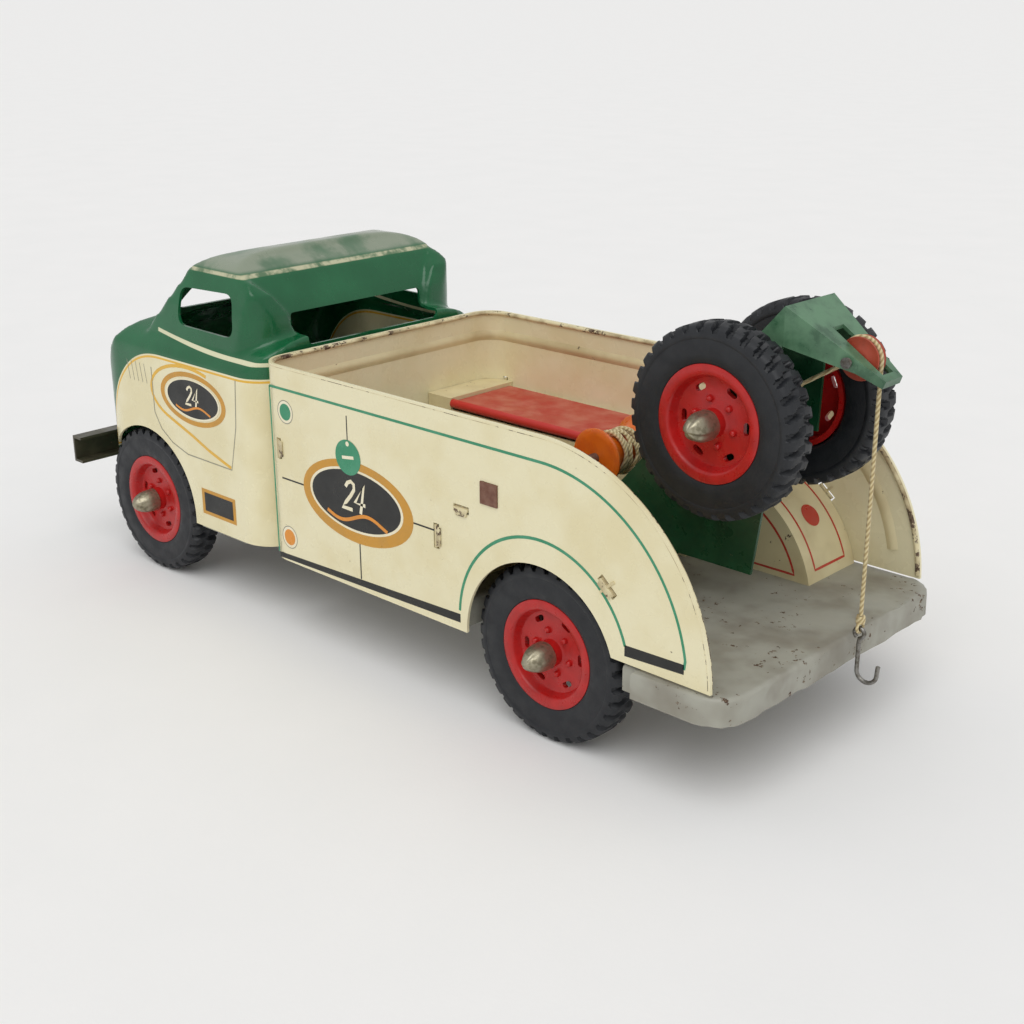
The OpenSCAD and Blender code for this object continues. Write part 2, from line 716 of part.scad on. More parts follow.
// Draws a section, given as [y, z] points, along X.
module along_x(x0, x1) {
    translate([x0, 0, 0]) rotate([90, 0, 90]) linear_extrude(x1 - x0) children();
}

module cab_plan(t, low, high, rear, half) {
    translate([0, 0, low]) linear_extrude(high - low)
        plan_outline(rear + t, nose_x - t, half - t, cab_corner - t, nose_corner - t);
}

module lower_body(t) {
    low = cab_low - (t > 0 ? 1 : 0);
    intersection() {
        cab_plan(t, low, hood_z + 1, cab_rear_x, cab_w / 2);
        across_y(-far / 2, far) polygon(concat([[cab_rear_x, low], [nose_x - t - 0.3, low]],
            [for (a = [0:6:90]) [nose_x - nose_l + (nose_l - t) * pow(cos(a), 0.83),
                nose_centre_z + (hood_z - nose_centre_z - t) * pow(sin(a), 0.83)]],
            [[cab_rear_x, hood_z - t]]));
        along_x(cab_rear_x - 1, nose_x + 1) polygon(concat([[-cab_w / 2 + t, low], [cab_w / 2 - t, low]],
            arch(-cab_w / 2 + t, cab_w / 2 - t, hood_edge_z, hood_z - hood_edge_z - t)));
    }
}

module greenhouse(t) {
    low = shoulder_z - (t > 0 ? 14 : 6);
    intersection() {
        cab_plan(t, low, roof_z + 1, house_rear_x, house_half);
        across_y(-far / 2, far) polygon(concat([[house_rear_x + t, shoulder_z + 4], [house_rear_x + t, low],
            [glass_base_x + 8 - t, low], [glass_base_x - t, shoulder_z + 2.5]],
            arch(roof_rear_x + t, roof_front_x - t, eave_z, roof_z - eave_z - t)));
        along_x(cab_rear_x - 1, nose_x + 1) polygon(concat([[-house_half + t, shoulder_z],
            [-house_half + t, low], [house_half - t, low], [house_half - t, shoulder_z]],
            arch(-eave_half + t, eave_half - t, eave_z, roof_z - eave_z - t)));
    }
}

window_low_z = tyre_r + 87;
window_high_z = eave_z - 4;
rear_window_half = 37.5;
post = 9;

module cab_windows() {
    across_y(-far / 2, far)
        polygon([[roof_rear_x + 2.5, window_low_z], [roof_front_x + 3.5, window_low_z + 0.5],
            [roof_front_x + 2.5, window_high_z - 1.5], [roof_rear_x + 5, window_high_z]]);
    translate([cab_rear_x - 10, -rear_window_half, shoulder_z + 4]) cube([30, 2 * rear_window_half, 13]);
    along_x(roof_front_x - 8, nose_x)
        polygon([[-cab_w / 2 + post, shoulder_z + 10], [cab_w / 2 - post, shoulder_z + 10],
            [eave_half - post, eave_z - 2], [-eave_half + post, eave_z - 2]]);
}

module cab_shell() {
    color("#2f7d52") difference() {
        union() {
            lower_body(0);
            greenhouse(0);
        }
        lower_body(sheet);
        greenhouse(sheet);
        cab_windows();
        translate([front_x, 0, tyre_r]) rotate([90, 0, 0]) cylinder(r = arch_r, h = far, center = true);
        translate([cab_rear_x - 10, -neck_half - free_gap, cab_low - 1])
            cube([30, 2 * (neck_half + free_gap), deck_z + free_gap - cab_low + 1]);
        for (side = [-1, 1])
            translate([nose_x - 12, side * arm_y - arm_w / 2 - free_gap, deck_z - free_gap])
                cube([20, arm_w + 2 * free_gap, arm_t + 2 * free_gap]);
    }
}

chassis();
axle_bracket(front_x);  // front_axle_bracket
axle_bracket(rear_x);  // rear_axle_bracket
bumper();
cab_shell();
bed_shell();
toolbox();  // left_toolbox
mirror([0, 1, 0]) toolbox();  // right_toolbox
lid();  // left_lid
mirror([0, 1, 0]) lid();  // right_lid
hinge_wire();  // left_hinge_wire
mirror([0, 1, 0]) hinge_wire();  // right_hinge_wire
boom();
on_boom() translate([spare_x, 0, spare_z]) axle(spare_axle_half);  // spare_axle
on_boom() axle_cap_pair(spare_x, spare_half, spare_z);  // spare_axle_caps
on_boom() at_wheel(spare_x, 1, spare_half, spare_z) tyre();  // left_spare_tyre
on_boom() at_wheel(spare_x, 1, spare_half, spare_z) hub();  // left_spare_hub
on_boom() at_wheel(spare_x, -1, spare_half, spare_z) tyre();  // right_spare_tyre
on_boom() at_wheel(spare_x, -1, spare_half, spare_z) hub();  // right_spare_hub
translate([front_x, 0, tyre_r]) axle(axle_half);  // front_axle
translate([rear_x, 0, tyre_r]) axle(axle_half);  // rear_axle
axle_cap_pair(front_x, track / 2, tyre_r);  // front_axle_caps
axle_cap_pair(rear_x, track / 2, tyre_r);  // rear_axle_caps
at_wheel(front_x, 1, track / 2, tyre_r) tyre();  // front_left_tyre
at_wheel(front_x, 1, track / 2, tyre_r) hub();  // front_left_hub
at_wheel(front_x, -1, track / 2, tyre_r) tyre();  // front_right_tyre
at_wheel(front_x, -1, track / 2, tyre_r) hub();  // front_right_hub
at_wheel(rear_x, 1, track / 2, tyre_r) tyre();  // rear_left_tyre
at_wheel(rear_x, 1, track / 2, tyre_r) hub();  // rear_left_hub
at_wheel(rear_x, -1, track / 2, tyre_r) tyre();  // rear_right_tyre
at_wheel(rear_x, -1, track / 2, tyre_r) hub();  // rear_right_hub
winch_rod();
winch_spool();
line_winding();
winch_bush();  // left_winch_bush
mirror([0, 1, 0]) winch_bush();  // right_winch_bush
tip_pulley();
pulley_pin();
line_tube(fill(route_run));  // tow_line_run
tow_line_drop();
line_knot();
tow_hook();
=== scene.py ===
# %% [markdown]
# A pressed-steel toy tow truck, dressed piece by piece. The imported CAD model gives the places, the
# sizes and the motion. Here each sheet, casting, moulding and cord gets the shape and the finish that
# the eye expects, and everything rides on the CAD's bodies.

# %% Load the frame
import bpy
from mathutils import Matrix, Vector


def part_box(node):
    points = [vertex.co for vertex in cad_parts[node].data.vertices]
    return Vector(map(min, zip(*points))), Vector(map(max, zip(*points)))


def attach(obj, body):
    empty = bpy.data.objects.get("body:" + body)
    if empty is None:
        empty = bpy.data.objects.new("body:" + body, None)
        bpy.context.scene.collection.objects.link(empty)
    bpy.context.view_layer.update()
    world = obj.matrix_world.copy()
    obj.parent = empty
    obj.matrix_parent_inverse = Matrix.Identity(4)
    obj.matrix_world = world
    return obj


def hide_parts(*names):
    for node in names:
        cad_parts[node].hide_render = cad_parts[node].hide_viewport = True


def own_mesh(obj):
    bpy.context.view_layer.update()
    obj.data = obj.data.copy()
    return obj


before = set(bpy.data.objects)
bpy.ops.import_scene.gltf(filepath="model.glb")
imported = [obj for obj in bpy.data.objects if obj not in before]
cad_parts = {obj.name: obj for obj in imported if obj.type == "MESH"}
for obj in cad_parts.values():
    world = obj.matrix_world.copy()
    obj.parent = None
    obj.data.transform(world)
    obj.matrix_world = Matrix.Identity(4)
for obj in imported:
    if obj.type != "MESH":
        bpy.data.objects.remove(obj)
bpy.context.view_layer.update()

import math
import random
import bmesh
import bpy
from mathutils import Matrix, Vector

# %% [markdown]
# Most of the truck was drawn from the side, so most of its measures are millimetres ahead of and
# above the rear axle. One small function turns such a measure into the model's metres.

# %% Measures from the rear axle
MM = 0.001
REAR_AXLE_X = -107.75
AXLE_Z = 34.5
WHEELBASE = 250
TRACK_HALF = 64
BOOM_Y = -4


def at(x, y, z):
    """Millimetres ahead of the rear axle, to the left and above the axle, as a place in metres."""
    return Vector((x + REAR_AXLE_X, y, z + AXLE_Z)) * MM


lo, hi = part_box("rear_left_tyre")
print("rear axle by the tyre:", round((lo[0] + hi[0]) / 2 / MM, 2), round((lo[2] + hi[2]) / 2 / MM, 2))

# %% [markdown]
# The camera looks from behind and to the left, a little above the truck. It is placed by its own
# three directions: where it looks back to, its right hand and its up.

# %% Camera
AZIMUTH, ELEVATION, ROLL = (math.radians(v) for v in (223.76, 19.87, -0.33))
back = Vector((math.sin(AZIMUTH) * math.cos(ELEVATION), -math.cos(AZIMUTH) * math.cos(ELEVATION),
               math.sin(ELEVATION)))
level = Vector((math.cos(AZIMUTH), math.sin(AZIMUTH), 0))
upward = back.cross(level)
right = level * math.cos(ROLL) + upward * math.sin(ROLL)
upward = upward * math.cos(ROLL) - level * math.sin(ROLL)
lens = bpy.data.cameras.new("camera")
lens.lens = 51.77
lens.sensor_width = 36
lens.clip_start = 0.01
camera = bpy.data.objects.new("camera", lens)
bpy.context.scene.collection.objects.link(camera)
place = Matrix((right, upward, back)).transposed().to_4x4()
place.translation = Vector((-0.43325, 0.4207, 0.2641))
camera.matrix_world = place
bpy.context.scene.camera = camera
print("camera stands", round(camera.location.length, 3), "m from the truck's middle")

# %% [markdown]
# Three small tools are used all the way through. The first makes an object from points and faces, the
# second settles an object's modifiers into its mesh, and the third sweeps a section along a path,
# which is how hems, wires and cords are made.

# %% Mesh tools
def piece(name, points, faces, body="truck", finish=None, sharp=35):
    mesh = bpy.data.meshes.new(name)
    mesh.from_pydata([tuple(p) for p in points], [], faces)
    mesh.validate()
    tidy = bmesh.new()
    tidy.from_mesh(mesh)
    bmesh.ops.remove_doubles(tidy, verts=tidy.verts, dist=1e-6)
    bmesh.ops.recalc_face_normals(tidy, faces=tidy.faces)
    tidy.to_mesh(mesh)
    tidy.free()
    obj = bpy.data.objects.new(name, mesh)
    bpy.context.scene.collection.objects.link(obj)
    soften(obj, sharp)
    if finish:
        obj.data.materials.append(finish)
    if body:
        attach(obj, body)
    return obj


def soften(obj, sharp=35):
    """Smooth shading, with edges sharper than the angle left crisp."""
    obj.data.shade_smooth()
    obj.data.set_sharp_from_angle(angle=math.radians(sharp))
    return obj


def settle(obj, sharp=35):
    """The modifiers' result becomes the mesh."""
    bpy.context.view_layer.update()
    done = bpy.data.meshes.new_from_object(obj.evaluated_get(bpy.context.evaluated_depsgraph_get()))
    obj.modifiers.clear()
    obj.data = done
    return soften(obj, sharp)


def modify(obj, kind, **settings):
    step = obj.modifiers.new(kind.lower(), kind)
    for name, value in settings.items():
        setattr(step, name, value)
    return step


def swept(path, section, closed=False, up=Vector((0, 1, 0)), capped=True):
    """Points and faces of a section of (sideways, upward) offsets carried along a path."""
    path = [Vector(p) for p in path]
    n, m = len(path), len(section)
    points, faces = [], []
    for i, p in enumerate(path):
        before = path[(i - 1) % n] if closed or i else p
        after = path[(i + 1) % n] if closed or i < n - 1 else p
        ahead = (after - before).normalized()
        side = ahead.cross(up).normalized()
        rise = side.cross(ahead)
        points += [p + side * u + rise * v for u, v in section]
    for i in range(n if closed else n - 1):
        for k in range(m):
            a, b = i * m + k, i * m + (k + 1) % m
            c, d = ((i + 1) % n) * m + (k + 1) % m, ((i + 1) % n) * m + k
            faces.append((a, b, c, d))
    if capped and not closed:
        faces += [tuple(range(m - 1, -1, -1)), tuple(range((n - 1) * m, n * m))]
    return points, faces


def circle(radius, count=12):
    return [(radius * math.cos(2 * math.pi * k / count), radius * math.sin(2 * math.pi * k / count))
            for k in range(count)]


def lathe(profile, steps=96, closed=True):
    """A (radius, height) profile turned about Z."""
    n = len(profile)
    points = [(r * math.cos(2 * math.pi * i / steps), r * math.sin(2 * math.pi * i / steps), h)
              for i in range(steps) for r, h in profile]
    faces = [(i * n + k, ((i + 1) % steps) * n + k, ((i + 1) % steps) * n + (k + 1) % n,
              i * n + (k + 1) % n)
             for i in range(steps) for k in range(n if closed else n - 1)]
    return points, faces


def ray(cx, cz, radius, angle):
    """The point (x, z) at a radius from a centre, at an angle in degrees from +x towards +z."""
    return cx + radius * math.cos(math.radians(angle)), cz + radius * math.sin(math.radians(angle))


def arc(cx, cz, radius, start, end, count=16):
    """Points (x, z) on a circle from one angle to another."""
    return [ray(cx, cz, radius, start + (end - start) * i / count) for i in range(count + 1)]


# %% [markdown]
# Colours are written as the hex values that a paint chart gives and turned into the linear numbers
# that light adds up in. One function adds a node with its settings and its links.

# %% Colour and node tools
def ink(code, alpha=1.0):
    parts = [int(code[i:i + 2], 16) / 255 for i in (1, 3, 5)]
    return tuple(c / 12.92 if c <= 0.04045 else ((c + 0.055) / 1.055) ** 2.4 for c in parts) + (alpha,)


def finish(name):
    """A new material with its Principled shader."""
    made = bpy.data.materials.new(name)
    made.use_nodes = True
    return made, made.node_tree.nodes["Principled BSDF"]


def add(made, kind, feeds=None, **settings):
    """One node: settings are its own properties, feeds are values or links for its sockets."""
    node = made.node_tree.nodes.new(kind)
    for name, value in settings.items():
        setattr(node, name, value)
    for socket, value in (feeds or {}).items():
        target = node.inputs[socket]
        if isinstance(value, bpy.types.NodeSocket):
            made.node_tree.links.new(value, target)
        else:
            target.default_value = value
    return node


def connect(made, source, target):
    made.node_tree.links.new(source, target)


def grain(made, size_mm, detail=4.0, rough=0.55, stretch=(1, 1, 1)):
    """Noise whose lumps are about size_mm across, in the piece's own space, from 0 to 1."""
    where = add(made, "ShaderNodeTexCoord").outputs["Object"]
    if stretch != (1, 1, 1):
        where = add(made, "ShaderNodeMapping", {"Vector": where, "Scale": stretch}).outputs[0]
    return add(made, "ShaderNodeTexNoise", {"Vector": where, "Scale": 1 / (size_mm * MM), "Detail": detail,
                                            "Roughness": rough}).outputs["Fac"]


def ramp(made, source, low, high, start=0.0, end=1.0):
    """A soft step: start below low, end above high."""
    return add(made, "ShaderNodeMapRange",
               {"Value": source, "From Min": low, "From Max": high, "To Min": start,
                                            "To Max": end},
                                            interpolation_type="SMOOTHSTEP").outputs["Result"]


def blend(made, share, first, second):
    mix = add(made, "ShaderNodeMix", {0: share}, data_type="RGBA")
    for socket, value in ((mix.inputs[6], first), (mix.inputs[7], second)):
        if isinstance(value, bpy.types.NodeSocket):
            connect(made, value, socket)
        else:
            socket.default_value = value
    return mix.outputs[2]


def maths(made, operation, a, b=0.0):
    return add(made, "ShaderNodeMath", {0: a, 1: b}, operation=operation).outputs[0]


def bump(made, shader, height, depth_mm):
    made_bump = add(made, "ShaderNodeBump", {"Height": height, "Distance": depth_mm * MM, "Strength": 1.0})
    connect(made, made_bump.outputs[0], shader.inputs["Normal"])


# %% [markdown]
# Stove enamel on tinplate: a thin, fairly glossy paint film over steel. Seventy years of play leave it
# slightly yellow in patches, dull where hands rubbed it, and flaked to brown, rusted steel in small
# ragged chips. The same recipe serves every enamel here, with its own colour, haze and share of chips.

# %% Enamel on tinplate
RUST = ink("#4b3527")
BARE = ink("#7d6c58")


def enamel(name, colour, worn, chips=0.30, haze=0.4, gloss=0.32, patch_mm=26, zones=None):
    """Paint with hazy patches and chips. zones(made, paint) may lay other colours over the paint."""
    made, shader = finish(name)
    patches = ramp(made, grain(made, patch_mm, 3), 0.38, 0.72, 0.0, haze)
    paint = blend(made, patches, ink(colour), ink(worn))
    if zones:
        paint = zones(made, paint)
    ragged = grain(made, 3.2, 6, 0.68)
    where = ramp(made, grain(made, 19, 2), 0.42, 0.66)
    flaked = maths(made, "ADD", ragged, maths(made, "MULTIPLY", where, chips * 0.16))
    hole = ramp(made, flaked, 0.755 - chips * 0.12, 0.775 - chips * 0.12)
    metal = blend(made, ramp(made, grain(made, 1.4, 4), 0.42, 0.60), RUST, BARE)
    connect(made, blend(made, hole, paint, metal), shader.inputs["Base Color"])
    rough = maths(made, "ADD", ramp(made, grain(made, 9, 4), 0.35, 0.7, gloss - 0.05, gloss + 0.16),
                  maths(made, "MULTIPLY", hole, 0.35))
    connect(made, rough, shader.inputs["Roughness"])
    height = maths(made, "SUBTRACT", grain(made, 34, 1), maths(made, "MULTIPLY", hole, 0.20))
    bump(made, shader, height, 0.25)
    shader.inputs["IOR"].default_value = 1.5
    return made


cream = enamel("cream_stove_enamel", "#e9e1bd", "#ddd0a2", chips=0.24, haze=0.6, gloss=0.26)
cream_inside = enamel("cream_enamel_in_shade", "#ded2a8", "#bfae82", chips=0.40, haze=0.85, gloss=0.40)
cream_rim = enamel("cream_enamel_chipped_hem", "#dfd3aa", "#8f7a55", chips=1.05, haze=0.85, gloss=0.45,
                   patch_mm=9)
deck_grey = enamel("grey_enamel_scuffed", "#a2a195", "#7d776a", chips=0.62, haze=0.75, gloss=0.42,
                   patch_mm=22)
lid_red = enamel("red_enamel_faded", "#b3402f", "#c07a66", chips=0.25, haze=0.85, gloss=0.38, patch_mm=12)


def boom_zones(made, paint):
    """Paler green is painted over the head of the boom in noisy patches; the plates below keep a deep
    green.
    """
    height = add(made, "ShaderNodeSeparateXYZ",
                 {0: add(made, "ShaderNodeTexCoord").outputs["Object"]}).outputs[2]
    paler_head = maths(made, "MULTIPLY", ramp(made, height, 132 * MM, 146 * MM),
                   ramp(made, grain(made, 9, 5), 0.30, 0.62, 0.25, 0.95))
    return blend(made, paler_head, paint, ink("#5f8667"))


boom_green = enamel("green_enamel_worn", "#103f26", "#1b5234", chips=0.45, haze=0.7, gloss=0.30,
                    patch_mm=11, zones=boom_zones)
olive = enamel("olive_enamel_rubbed", "#3d3a2c", "#57523f", chips=0.45, haze=0.7, gloss=0.34, patch_mm=10)
print("enamels:", [m.name for m in bpy.data.materials if "enamel" in m.name])

# %% [markdown]
# The wheels are two mouldings. The tyre is soft black vinyl: it looks like rubber, a little blue, with
# a dusty bloom. The hub is red styrene, moulded in one piece, with a soft gloss.

# %% Moulded finishes
def moulded(name, colour, shade, gloss, patch_mm=8, pits_mm=1.2, pits=0.05, spread=0.5):
    made, shader = finish(name)
    connect(made, blend(made, ramp(made, grain(made, patch_mm, 4), 0.35, 0.7, 0, spread), ink(colour),
                        ink(shade)),
            shader.inputs["Base Color"])
    connect(made, ramp(made, grain(made, patch_mm * 0.6, 5), 0.3, 0.7, gloss - 0.06, gloss + 0.12),
            shader.inputs["Roughness"])
    bump(made, shader, grain(made, pits_mm, 5), pits)
    shader.inputs["IOR"].default_value = 1.49
    return made, shader


vinyl, _ = moulded("black_vinyl_tyre", "#15181d", "#25272b", 0.50, 9, 0.9, 0.06)
styrene, _ = moulded("red_styrene_hub", "#b81c1a", "#951815", 0.30, 7, 1.4, 0.04)
amber, amber_shader = moulded("orange_polythene_spool", "#d9690d", "#b9480a", 0.32, 6, 1.5, 0.05)
amber_shader.inputs["Subsurface Weight"].default_value = 0.35
amber_shader.inputs["Subsurface Radius"].default_value = (0.004, 0.0016, 0.0005)
brown, _ = moulded("brown_fibre_bush", "#6a4232", "#8c6a58", 0.6, 3, 0.7, 0.12)
brick, _ = moulded("brick_red_pulley", "#a9452f", "#7d3a2a", 0.45, 4, 1.0, 0.06)


# %% [markdown]
# Bare metals: the axle caps are pressed from thin plated steel, dulled to a warm grey, and the wire of
# the hook and the pins is plain steel with a brown bloom.

# %% Bare metals
def steel(name, colour, stain, gloss, lump_mm=2.5):
    made, shader = finish(name)
    stained = ramp(made, grain(made, lump_mm, 5), 0.42, 0.68, 0, 0.8)
    connect(made, blend(made, stained, ink(colour), ink(stain)), shader.inputs["Base Color"])
    connect(made, maths(made, "ADD", maths(made, "MULTIPLY", stained, 0.25), gloss),
            shader.inputs["Roughness"])
    shader.inputs["Metallic"].default_value = 0.85
    bump(made, shader, grain(made, 0.8, 5), 0.05)
    return made


plated = steel("dulled_nickel_plate", "#a9a28c", "#6d6753", 0.36)
wire_steel = steel("tarnished_steel_wire", "#8d8b86", "#5d564a", 0.34, 1.5)

# %% [markdown]
# The tow line is braided cotton. Its strands are a third of a millimetre wide, which is close to what a
# render can hold, so the braid is drawn a little coarse as slanting ridges.

# %% Braided cotton
cotton, cotton_shader = finish("braided_cotton_line")
along = add(cotton, "ShaderNodeTexCoord").outputs["Object"]
braid = add(cotton, "ShaderNodeTexWave",
            {"Vector": along, "Scale": 1 / (3.5 * MM), "Distortion": 1.5, "Detail": 2.0},
            bands_direction="DIAGONAL").outputs["Fac"]
# Painted shade and highlight: the braid's grooves take the darker colour and its ridges the lighter, on top
# of the bump.
connect(cotton, blend(cotton, braid, ink("#a58f62"), ink("#d8c99c")), cotton_shader.inputs["Base Color"])
cotton_shader.inputs["Roughness"].default_value = 0.85
cotton_shader.inputs["Sheen Weight"].default_value = 0.3
bump(cotton, cotton_shader, braid, 0.12)

# %% [markdown]
# The tow line leaves the spool, runs up inside the boom and over the pulley, and then hangs straight
# down to its knot. The hanging end shortens as the winch turns, so it is a tube of its own that
# rides on the hook's body.

# %% Tow line
LINE_R = 0.75
PULLEY = (-80.2, 111.12)
WINCH = (23.5, 57)
SPARE = (-42.3, 87.6)
over_r = 7.15
line_x = PULLEY[0] - over_r
knot_top = 20.0
drop = [at(line_x, BOOM_Y, PULLEY[1] + (knot_top - PULLEY[1]) * i / 30) for i in range(31)]
points, faces = swept(drop, circle(LINE_R * MM))
tow_drop = piece("tow_line_hanging", points, faces, "hook", cotton)
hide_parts("tow_line_drop")
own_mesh(tow_drop)
wound_r = 9.15
pass_r = 3.65
run = [ray(*WINCH, wound_r, a) for a in (-70, -82, -95, -104, -112)]
run += [(-1.0, 61.4), (-20.0, 71.5)]
run += [ray(*SPARE, pass_r, a) for a in (-60, -95, -130)]
run += [(-57.9, 98.4)]
run += [ray(*PULLEY, over_r, a) for a in range(-25, 156, 15)]
run += [(line_x, PULLEY[1] + 1), (line_x, PULLEY[1])]
run_path = []
for a, b in zip(run, run[1:]):
    steps = max(1, round(math.dist(a, b) / 2.5))
    run_path += [(a[0] + (b[0] - a[0]) * k / steps, a[1] + (b[1] - a[1]) * k / steps) for k in range(steps)]
run_path = [at(x, BOOM_Y, z) for x, z in run_path + [run[-1]]]
points, faces = swept(run_path, circle(LINE_R * MM))
tow_run = piece("tow_line_run_visual", points, faces, "truck", cotton)
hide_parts("tow_line_run")

# %% [markdown]
# The knot is a few hitches of the same cord above a small loop that goes through the hook's eye. The
# hook is one bent wire. Both are swept along their own centre lines.

# %% Knot and hook
EYE_Z, EYE_R, WIRE_R = 13.3, 1.9, 0.8
hitch = []
for k in range(49):
    turn = 2 * math.pi * k / 12
    hitch.append(at(line_x + 1.05 * math.cos(turn), BOOM_Y + 1.05 * math.sin(turn), 17.4 + 2.2 * k / 48))
points, faces = swept(hitch, circle(0.72 * MM, 8), up=Vector((0, 0, 1)))
loop = [at(line_x, BOOM_Y + 2.0 * math.sin(2 * math.pi * k / 24),
           EYE_Z + EYE_R + 0.5 + 2.0 * math.cos(2 * math.pi * k / 24)) for k in range(24)]
more, rest = swept(loop, circle(0.6 * MM, 8), closed=True, up=Vector((1, 0, 0)))
faces += [tuple(i + len(points) for i in f) for f in rest]
knot = piece("line_knot_turns", points + more, faces, "hook", cotton)
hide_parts("line_knot")
wire = arc(line_x, EYE_Z, EYE_R, -60, 262, 22)
wire += [(line_x, EYE_Z - EYE_R - 1.6), (line_x, 5.0), (line_x, 0.5)]
wire += arc(line_x - 4, -0.6, 4.0, 0, -180, 18)[1:]
wire += [(line_x - 8.1, 1.2), (line_x - 8.3, 2.8)]
points, faces = swept([at(x, BOOM_Y, z) for x, z in wire], circle(WIRE_R * MM, 12))
hook = piece("tow_hook_wire", points, faces, "hook", wire_steel)
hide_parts("tow_hook")

# %% [markdown]
# A wheel is drawn once, lying on its side with its outer face up, and six copies of the same meshes are
# stood up where the CAD has them. The tyre is a lathe form whose tread is pushed in and out: two rows
# of lugs, one from each shoulder, that pass each other at the middle.

# %% Tyre
LUGS = 34
LUG_DEPTH = 1.9
TREAD_HALF = 6.8
TREAD_FROM = 31.2
LUG_SHARE = 0.62
TYRE_STEPS = LUGS * 12
MID = -6.9
profile = [(20.2, MID + 5.2), (21.2, MID + 6.6), (22.6, MID + 7.2), (24.4, MID + 7.45),
           (27.6, MID + 7.35), (29.4, MID + 7.15),
           (29.9, MID + 7.35), (31.0, MID + 7.25), (31.6, MID + 6.95), (32.8, MID + 6.7),
           (33.6, MID + 6.1), (34.2, MID + 5.1),
           (34.45, MID + 3.6), (34.5, MID + 1.6), (34.5, MID + 0.5), (34.5, MID - 0.5)]
profile += [(r, 2 * MID - h) for r, h in reversed(profile[:-2])]
rows = len(profile)
points, faces = [], []
for i in range(TYRE_STEPS):
    turn = 2 * math.pi * i / TYRE_STEPS
    for k, (r, h) in enumerate(profile):
        beside = h - MID
        if abs(beside) <= TREAD_HALF and r > TREAD_FROM:
            half_pitch = 0.0 if beside > 0 else 0.5
            slant = 0.35 * abs(beside) / 7
            phase = (i / 12 + half_pitch + slant) % 1.0
            groove = phase > LUG_SHARE
            reach = 1.0 if abs(beside) > 0.9 else 0.55
            if groove:
                r -= LUG_DEPTH * reach * min(1.0, (r - 31.0) / 2.2)
        points.append((r * math.cos(turn) * MM, r * math.sin(turn) * MM, h * MM))
for i in range(TYRE_STEPS):
    for k in range(rows):
        j, m = (i + 1) % TYRE_STEPS, (k + 1) % rows
        faces.append((i * rows + k, j * rows + k, j * rows + m, i * rows + m))
tyre = piece("tyre_pattern", points, faces, None, vinyl, sharp=28)
print("tyre:", len(tyre.data.vertices), "points,", LUGS, "lugs a side")

# %% [markdown]
# The hub is lathed with its lip, well, disc and centre ring, and then the hand holes are cut through
# the disc and small round bosses are set between them.

# %% Hub
dish = [(2.5, -0.6), (4.4, -0.6), (4.9, -0.9), (5.2, -3.6), (6.2, -4.2), (14.2, -4.5), (15.6, -4.1),
        (16.3, -2.8), (16.7, -1.2),
        (17.2, -0.35), (17.9, 0.0), (20.3, 0.0), (20.9, -0.25), (21.0, -0.7), (20.8, -1.3), (19.7, -1.4),
        (19.7, MID - 5.6), (17.7, MID - 5.7),
        (17.0, -6.4), (15.8, -6.5), (6.6, -6.2), (5.2, -6.8), (5.0, -14.2), (2.5, -14.3)]
points, faces = lathe([(r * MM, h * MM) for r, h in dish], 120)
hub = piece("hub_pattern", points, faces, None, styrene, sharp=40)
cutters = []
HOLES = 6
for i in range(HOLES):
    turn = 2 * math.pi * (i + 0.5) / HOLES
    outline = []
    for k in range(20):
        a = 2 * math.pi * k / 20
        across, tangent = 1.15 * math.cos(a), 1.15 * math.sin(a)
        if abs(math.sin(a)) > 1e-6:
            tangent += math.copysign(1.15, math.sin(a))
        outline.append(((13.0 + across) * MM, tangent * MM))
    spun = [(x * math.cos(turn) - y * math.sin(turn), x * math.sin(turn) + y * math.cos(turn)) for x,
            y in outline]
    ring = len(spun)
    pts = [(x, y, -0.009) for x, y in spun] + [(x, y, -0.002) for x, y in spun]
    fcs = [tuple(range(ring - 1, -1, -1)), tuple(range(ring, 2 * ring))]
    fcs += [(k, (k + 1) % ring, (k + 1) % ring + ring, k + ring) for k in range(ring)]
    cutters.append((pts, fcs))


def joined(parts):
    """Several (points, faces) as one."""
    points, faces = [], []
    for pts, fcs in parts:
        faces += [tuple(i + len(points) for i in f) for f in fcs]
        points += list(pts)
    return points, faces


def cut(obj, parts, sharp=35):
    """Cuts closed shapes out of obj."""
    points, faces = joined(parts)
    cutter = piece("cutter", points, faces, None)
    modify(obj, "BOOLEAN", operation="DIFFERENCE", object=cutter, solver="EXACT")
    settle(obj, sharp)
    bpy.data.objects.remove(cutter)
    return obj


cut(hub, cutters, 40)
studs = []
for i in range(HOLES):
    turn = 2 * math.pi * i / HOLES + 0.25
    pts, fcs = lathe([(0.0001 * MM, -2.7 * MM), (0.6 * MM, -2.75 * MM), (1.05 * MM, -3.1 * MM),
                      (1.2 * MM, -3.7 * MM), (1.35 * MM, -4.8 * MM)], 14, closed=False)
    studs.append(([(x + 8.4 * MM * math.cos(turn), y + 8.4 * MM * math.sin(turn), z) for x, y, z in pts],
                  fcs))
points, faces = joined(studs)
bosses = piece("boss_pattern", points, faces, None, styrene, sharp=60)
print("hub:", len(hub.data.vertices), "points")

# %% [markdown]
# The caps that hold the wheels on are pressed by hand tools from thin metal, so each is a six-sided
# dome with pinched folds that meet at the crown.

# %% Axle caps
CAP_R, CAP_L = 5.4, 11.4


